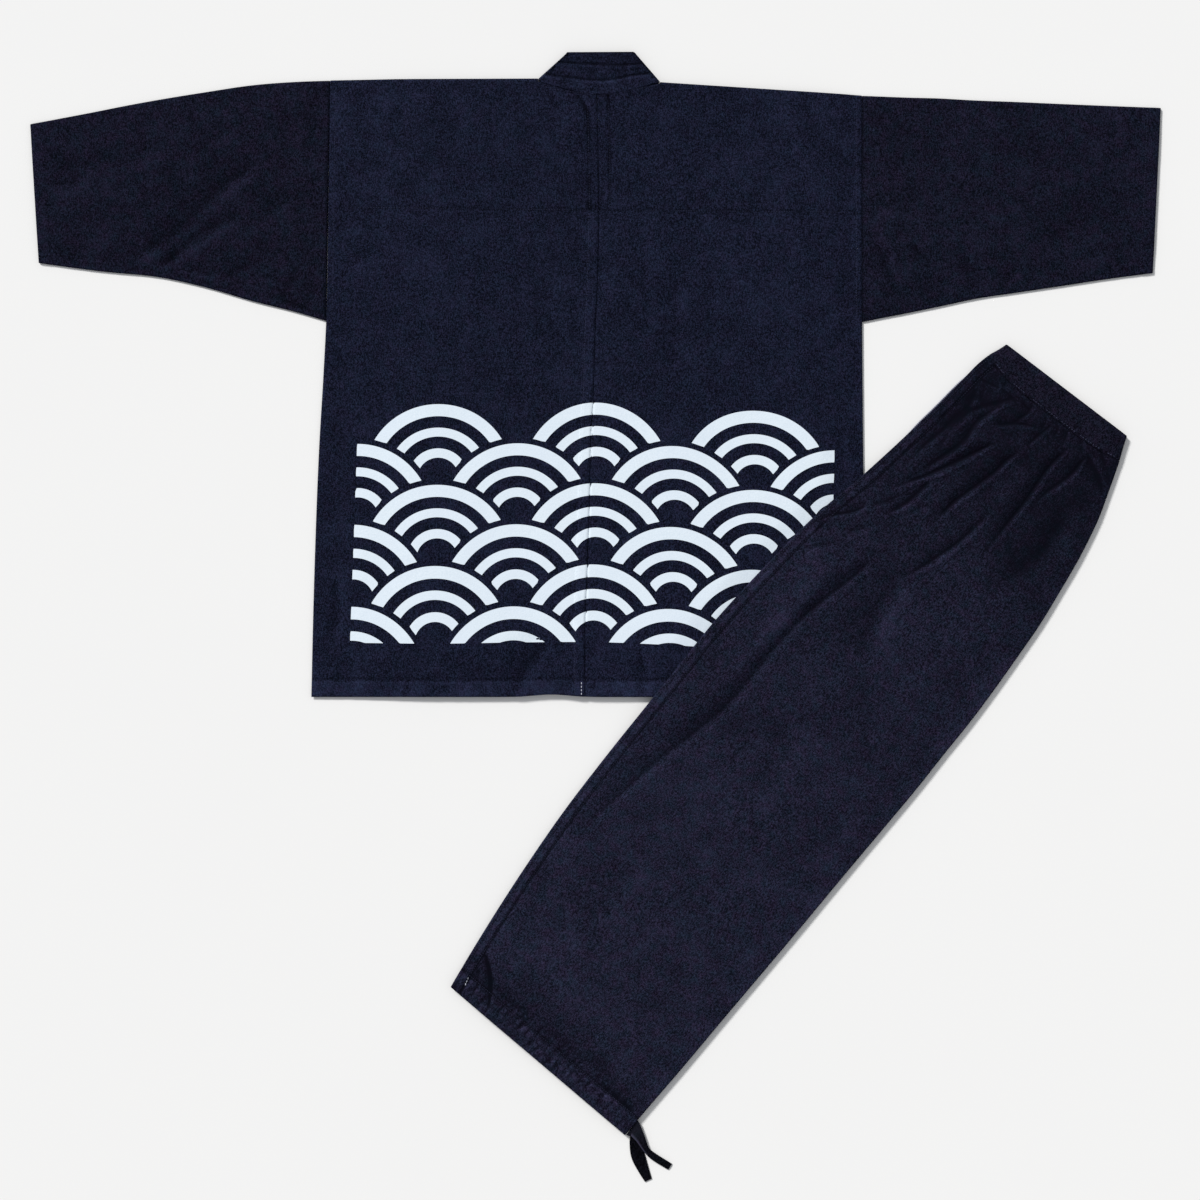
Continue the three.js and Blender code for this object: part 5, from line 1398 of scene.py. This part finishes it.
ys = np.linspace(HEM_Y + 1, 620, 200)
seam_low = ys[ys < 489]
jacket_runs = [
    (outside_leg(on_back(np.stack([centre_seam(seam_low) - 12.2, seam_low], -1))), 3.1, 2.2, 0.55, 0.18),
    (on_back(np.stack([centre_seam(ys[ys > 490]) - upper_row(ys[ys > 490]), ys[ys > 490]], -1)), 3.1, 2.2, 0.55, 0.18),
    (on_back(np.stack([centre_seam(ys[ys > 490]) + 13.2, ys[ys > 490]], -1)), 3.1, 2.2, 0.55, 0.18),
    (on_back(np.stack([np.linspace(-317, 317, 60), YOKE_Y(np.linspace(-317, 317, 60))], -1)), 3.1, 2.2, 0.55, 0.18),
    (outside_leg(on_back(np.stack([np.linspace(-337, 320, 60), np.full(60, HEM_Y + 20.6)], -1))), 3.1, 2.2, 0.6, 0.2),
]
arm_y = np.linspace(362, 640, 60)
jacket_runs.append((on_back(np.stack([side_l(arm_y) + 6.5, np.minimum(arm_y, 636)], -1)), 3.1, 2.1, 0.5, 0.16))
arm_y = np.linspace(360, 620, 60)
jacket_runs.append((on_back(np.stack([side_r(arm_y) - 6.5, arm_y], -1)), 3.1, 2.1, 0.5, 0.16))
for info in (info_l, info_r):
    # the cuff's row: 14.6 mm in from the cuff's edge
    x, y, z = info["x"], info["y"], info["z"]
    k = int(np.argmin(np.abs(info["cuff"] - 14.6)))
    jacket_runs.append((np.stack([x[k, 2:-2], y[k, 2:-2], z[k, 2:-2] + 0.05], -1), 3.1, 2.1, 0.5, 0.16))
neck_run = soften(at(NECK_LINE), 3)
jacket_runs.append((on_back(neck_run + np.array([0, -2.4])), 3.0, 2.1, 0.5, 0.16))
stitches_jacket = stitch_rows("jacket_stitches", jacket_runs, thread_navy)

s_run = np.linspace(34, LEG_LEN - 27, 260)
leg_runs = [
    (on_leg(s_run, inner_w(s_run) + 13.2), 3.0, 2.1, 0.55, 0.2),
    (on_leg(s_run, inner_w(s_run) + 3.4), 3.0, 2.1, 0.55, 0.2),
    (on_leg(np.full(120, LEG_LEN - 25.2), np.linspace(-134, 134, 120)), 2.8, 2.0, 0.6, 0.22),
]
stitches_leg = stitch_rows("trousers_stitches", leg_runs, thread_navy)

# the waistband's row shows lighter
ws = BAND_H - 2.4
band_runs = []
for w_from, w_to in ((-86, -70), (-56, -34), (-26, -10), (-6, 13), (17, 41), (45, 77), (84, 95)):
    w_run = np.linspace(w_from, w_to, 24)
    bx, by = xy_of(np.full_like(w_run, ws), w_run)
    bump_run = 0.75 + 0.5 * noise(w_run, np.full_like(w_run, ws * 0.25), 9, 51) + 0.35 * noise(w_run, np.full_like(w_run, ws), 22, 52)
    bz = ELASTIC / 2 + 3 * (ELASTIC + GAP) + ELASTIC / 2 + math.sin(math.pi * ws / BAND_H) ** 0.6 * bump_run * 0.9 - 0.3
    band_runs.append((np.stack([bx, by, bz + 0.02], -1), 3.7, 2.7, 0.5, 0.22))
hem_tack = np.stack([np.full(8, (581.5 - MID[0]) * U), np.linspace(HEM_Y + 2, HEM_Y + 19, 8)], -1)
stitches_band = stitch_rows("waistband_stitches", band_runs, thread_band)
light_runs = [
    (on_back(hem_tack, 0.1, 2.0), 4.2, 2.9, 1.1, 0.35),
]
tack = at([(468.5, 976.5), (467, 981), (465, 984), (467, 987.5)])
ts_, tw_ = leg_sw(tack[:, 0], tack[:, 1])
light_runs.append((on_leg(ts_, tw_, 0.15), 4.0, 3.4, 1.5, 0.45))
stitches_light = stitch_rows("light_stitches", light_runs, thread_pale)


# ------------------------------------------------------------------ overlocked edges that peek out
def overlock(name, path, out, pitch=2.4, reach=3.0):
    """Looped threads over a raw edge: path is (n,3) mm along the edge, out the direction the edge looks."""
    path = np.asarray(path, float)
    along = np.concatenate([[0], np.cumsum(np.linalg.norm(np.diff(path, axis=0), axis=1))])
    n = int(along[-1] / pitch)
    runs = []
    a = np.arange(n) * pitch
    P = np.stack([np.interp(a, along, path[:, k]) for k in range(3)], -1)
    out = np.array([*out, 0.0])
    r = np.random.default_rng(7)
    for i in range(n - 1):
        far = reach * (0.8 + 0.35 * r.random())
        tip = P[i] * 0.5 + P[i + 1] * 0.5 + out * far * 0.45
        runs.append(([P[i] - out * far * 0.55, tip], 99, 1, 1, 1))
        runs.append(([tip, P[i + 1] - out * far * 0.55], 99, 1, 1, 1))
    segs = [(np.array(p[0]), np.array(p[1])) for p, *_ in runs]
    rows = []
    for p0, p1 in segs:
        length = float(np.linalg.norm(p1 - p0))
        rows.append((np.array([p0, p1]), length * 0.88, length * 0.86, 0.55, 0.25))
    return rows


edge_runs = []
hx = np.linspace((503 - MID[0]) * U, (578 - MID[0]) * U, 30)
edge_runs += overlock("hem", np.stack([hx, HEM_Y + 0.3 + hem_rise(hx, HEM_Y + 0.3), np.full(30, 1.0)], -1), (0, -1), 2.6, 2.6)
hx = np.linspace((366 - MID[0]) * U, (424 - MID[0]) * U, 24)
edge_runs += overlock("hem2", np.stack([hx, np.full(24, HEM_Y + 1.2), np.full(24, 1.0)], -1), (0, -1), 2.8, 2.2)
es = np.linspace(64, 176, 40)
ew = inner_w(es) - (3.2 * smooth(40, 90, es) * (1 - smooth(130, 185, es)) - 2.0)
ex, ey = xy_of(es, ew)
edge_runs += overlock("leg", np.stack([ex, ey, leg_ground(ex, ey) + 2.9], -1), -ACROSS, 2.4, 3.2)
overlock_o = stitch_rows("overlocked_edges", edge_runs, thread_pale)

# ------------------------------------------------------------------ floor
floor_me = bpy.data.meshes.new("floor")
floor_me.from_pydata([(-9, -9, 0), (9, -9, 0), (9, 9, 0), (-9, 9, 0)], [], [(0, 1, 2, 3)])
floor = bpy.data.objects.new("floor", floor_me)
scene.collection.objects.link(floor)
floor.location.z = -0.0003
kf = Nodes("floor_pale")
kf.put(kf.shader.inputs["Base Color"], kf.mix(kf.noise(3, 2, 0.5), (0.81, 0.81, 0.81), (0.82, 0.82, 0.82)))
kf.shader.inputs["Roughness"].default_value = 0.95
kf.shader.inputs["Specular IOR Level"].default_value = 0.0
floor_me.materials.append(kf.m)

# ------------------------------------------------------------------ what stands for what
pieces = [
    (body_l, "body_left", "denim_body"), (body_r, "body_right", "denim_body"),
    (okumi_l, "okumi_left", "denim_body"), (okumi_r, "okumi_right", "denim_body"), (collar_o, "collar", "denim_body"),
    (sleeve_l, "sleeve_left", "denim_sleeve"), (sleeve_r, "sleeve_right", "denim_sleeve"),
    (tie_edge, "tie_front_edge", "denim_body"), (tie_side, "tie_side", "denim_body"),
    (leg_u, "leg_upper", "denim_trousers"), (leg_l, "leg_lower", "denim_trousers"), (band, "waistband", "denim_trousers"),
    (tie_a, "hem_tie_long", "tie_cotton"), (tie_b, "hem_tie_short", "tie_cotton"),
]
for o, node, slot_name in pieces:
    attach(o, "root")
    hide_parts(node)
for o, slot_name in ((wave_print, "denim_body"), (stitches_jacket, "denim_body"), (stitches_leg, "denim_trousers"), (stitches_light, "denim_trousers"), (stitches_band, "denim_trousers"), (overlock_o, "denim_body")):
    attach(o, "root")

import bmesh

for o, *_ in pieces + [(wave_print,), (stitches_jacket,), (stitches_leg,), (stitches_light,), (stitches_band,), (overlock_o,)]:
    bm = bmesh.new()
    bm.from_mesh(o.data)
    volume = bm.calc_volume(signed=True)
    bm.free()
    if volume < 0:
        o.data.flip_normals()
        print("turned", o.name)

print("triangles", {o.name: sum(len(p.vertices) - 2 for p in o.data.polygons) for o, *_ in pieces + [(wave_print,), (stitches_jacket,), (stitches_leg,), (overlock_o,)]})
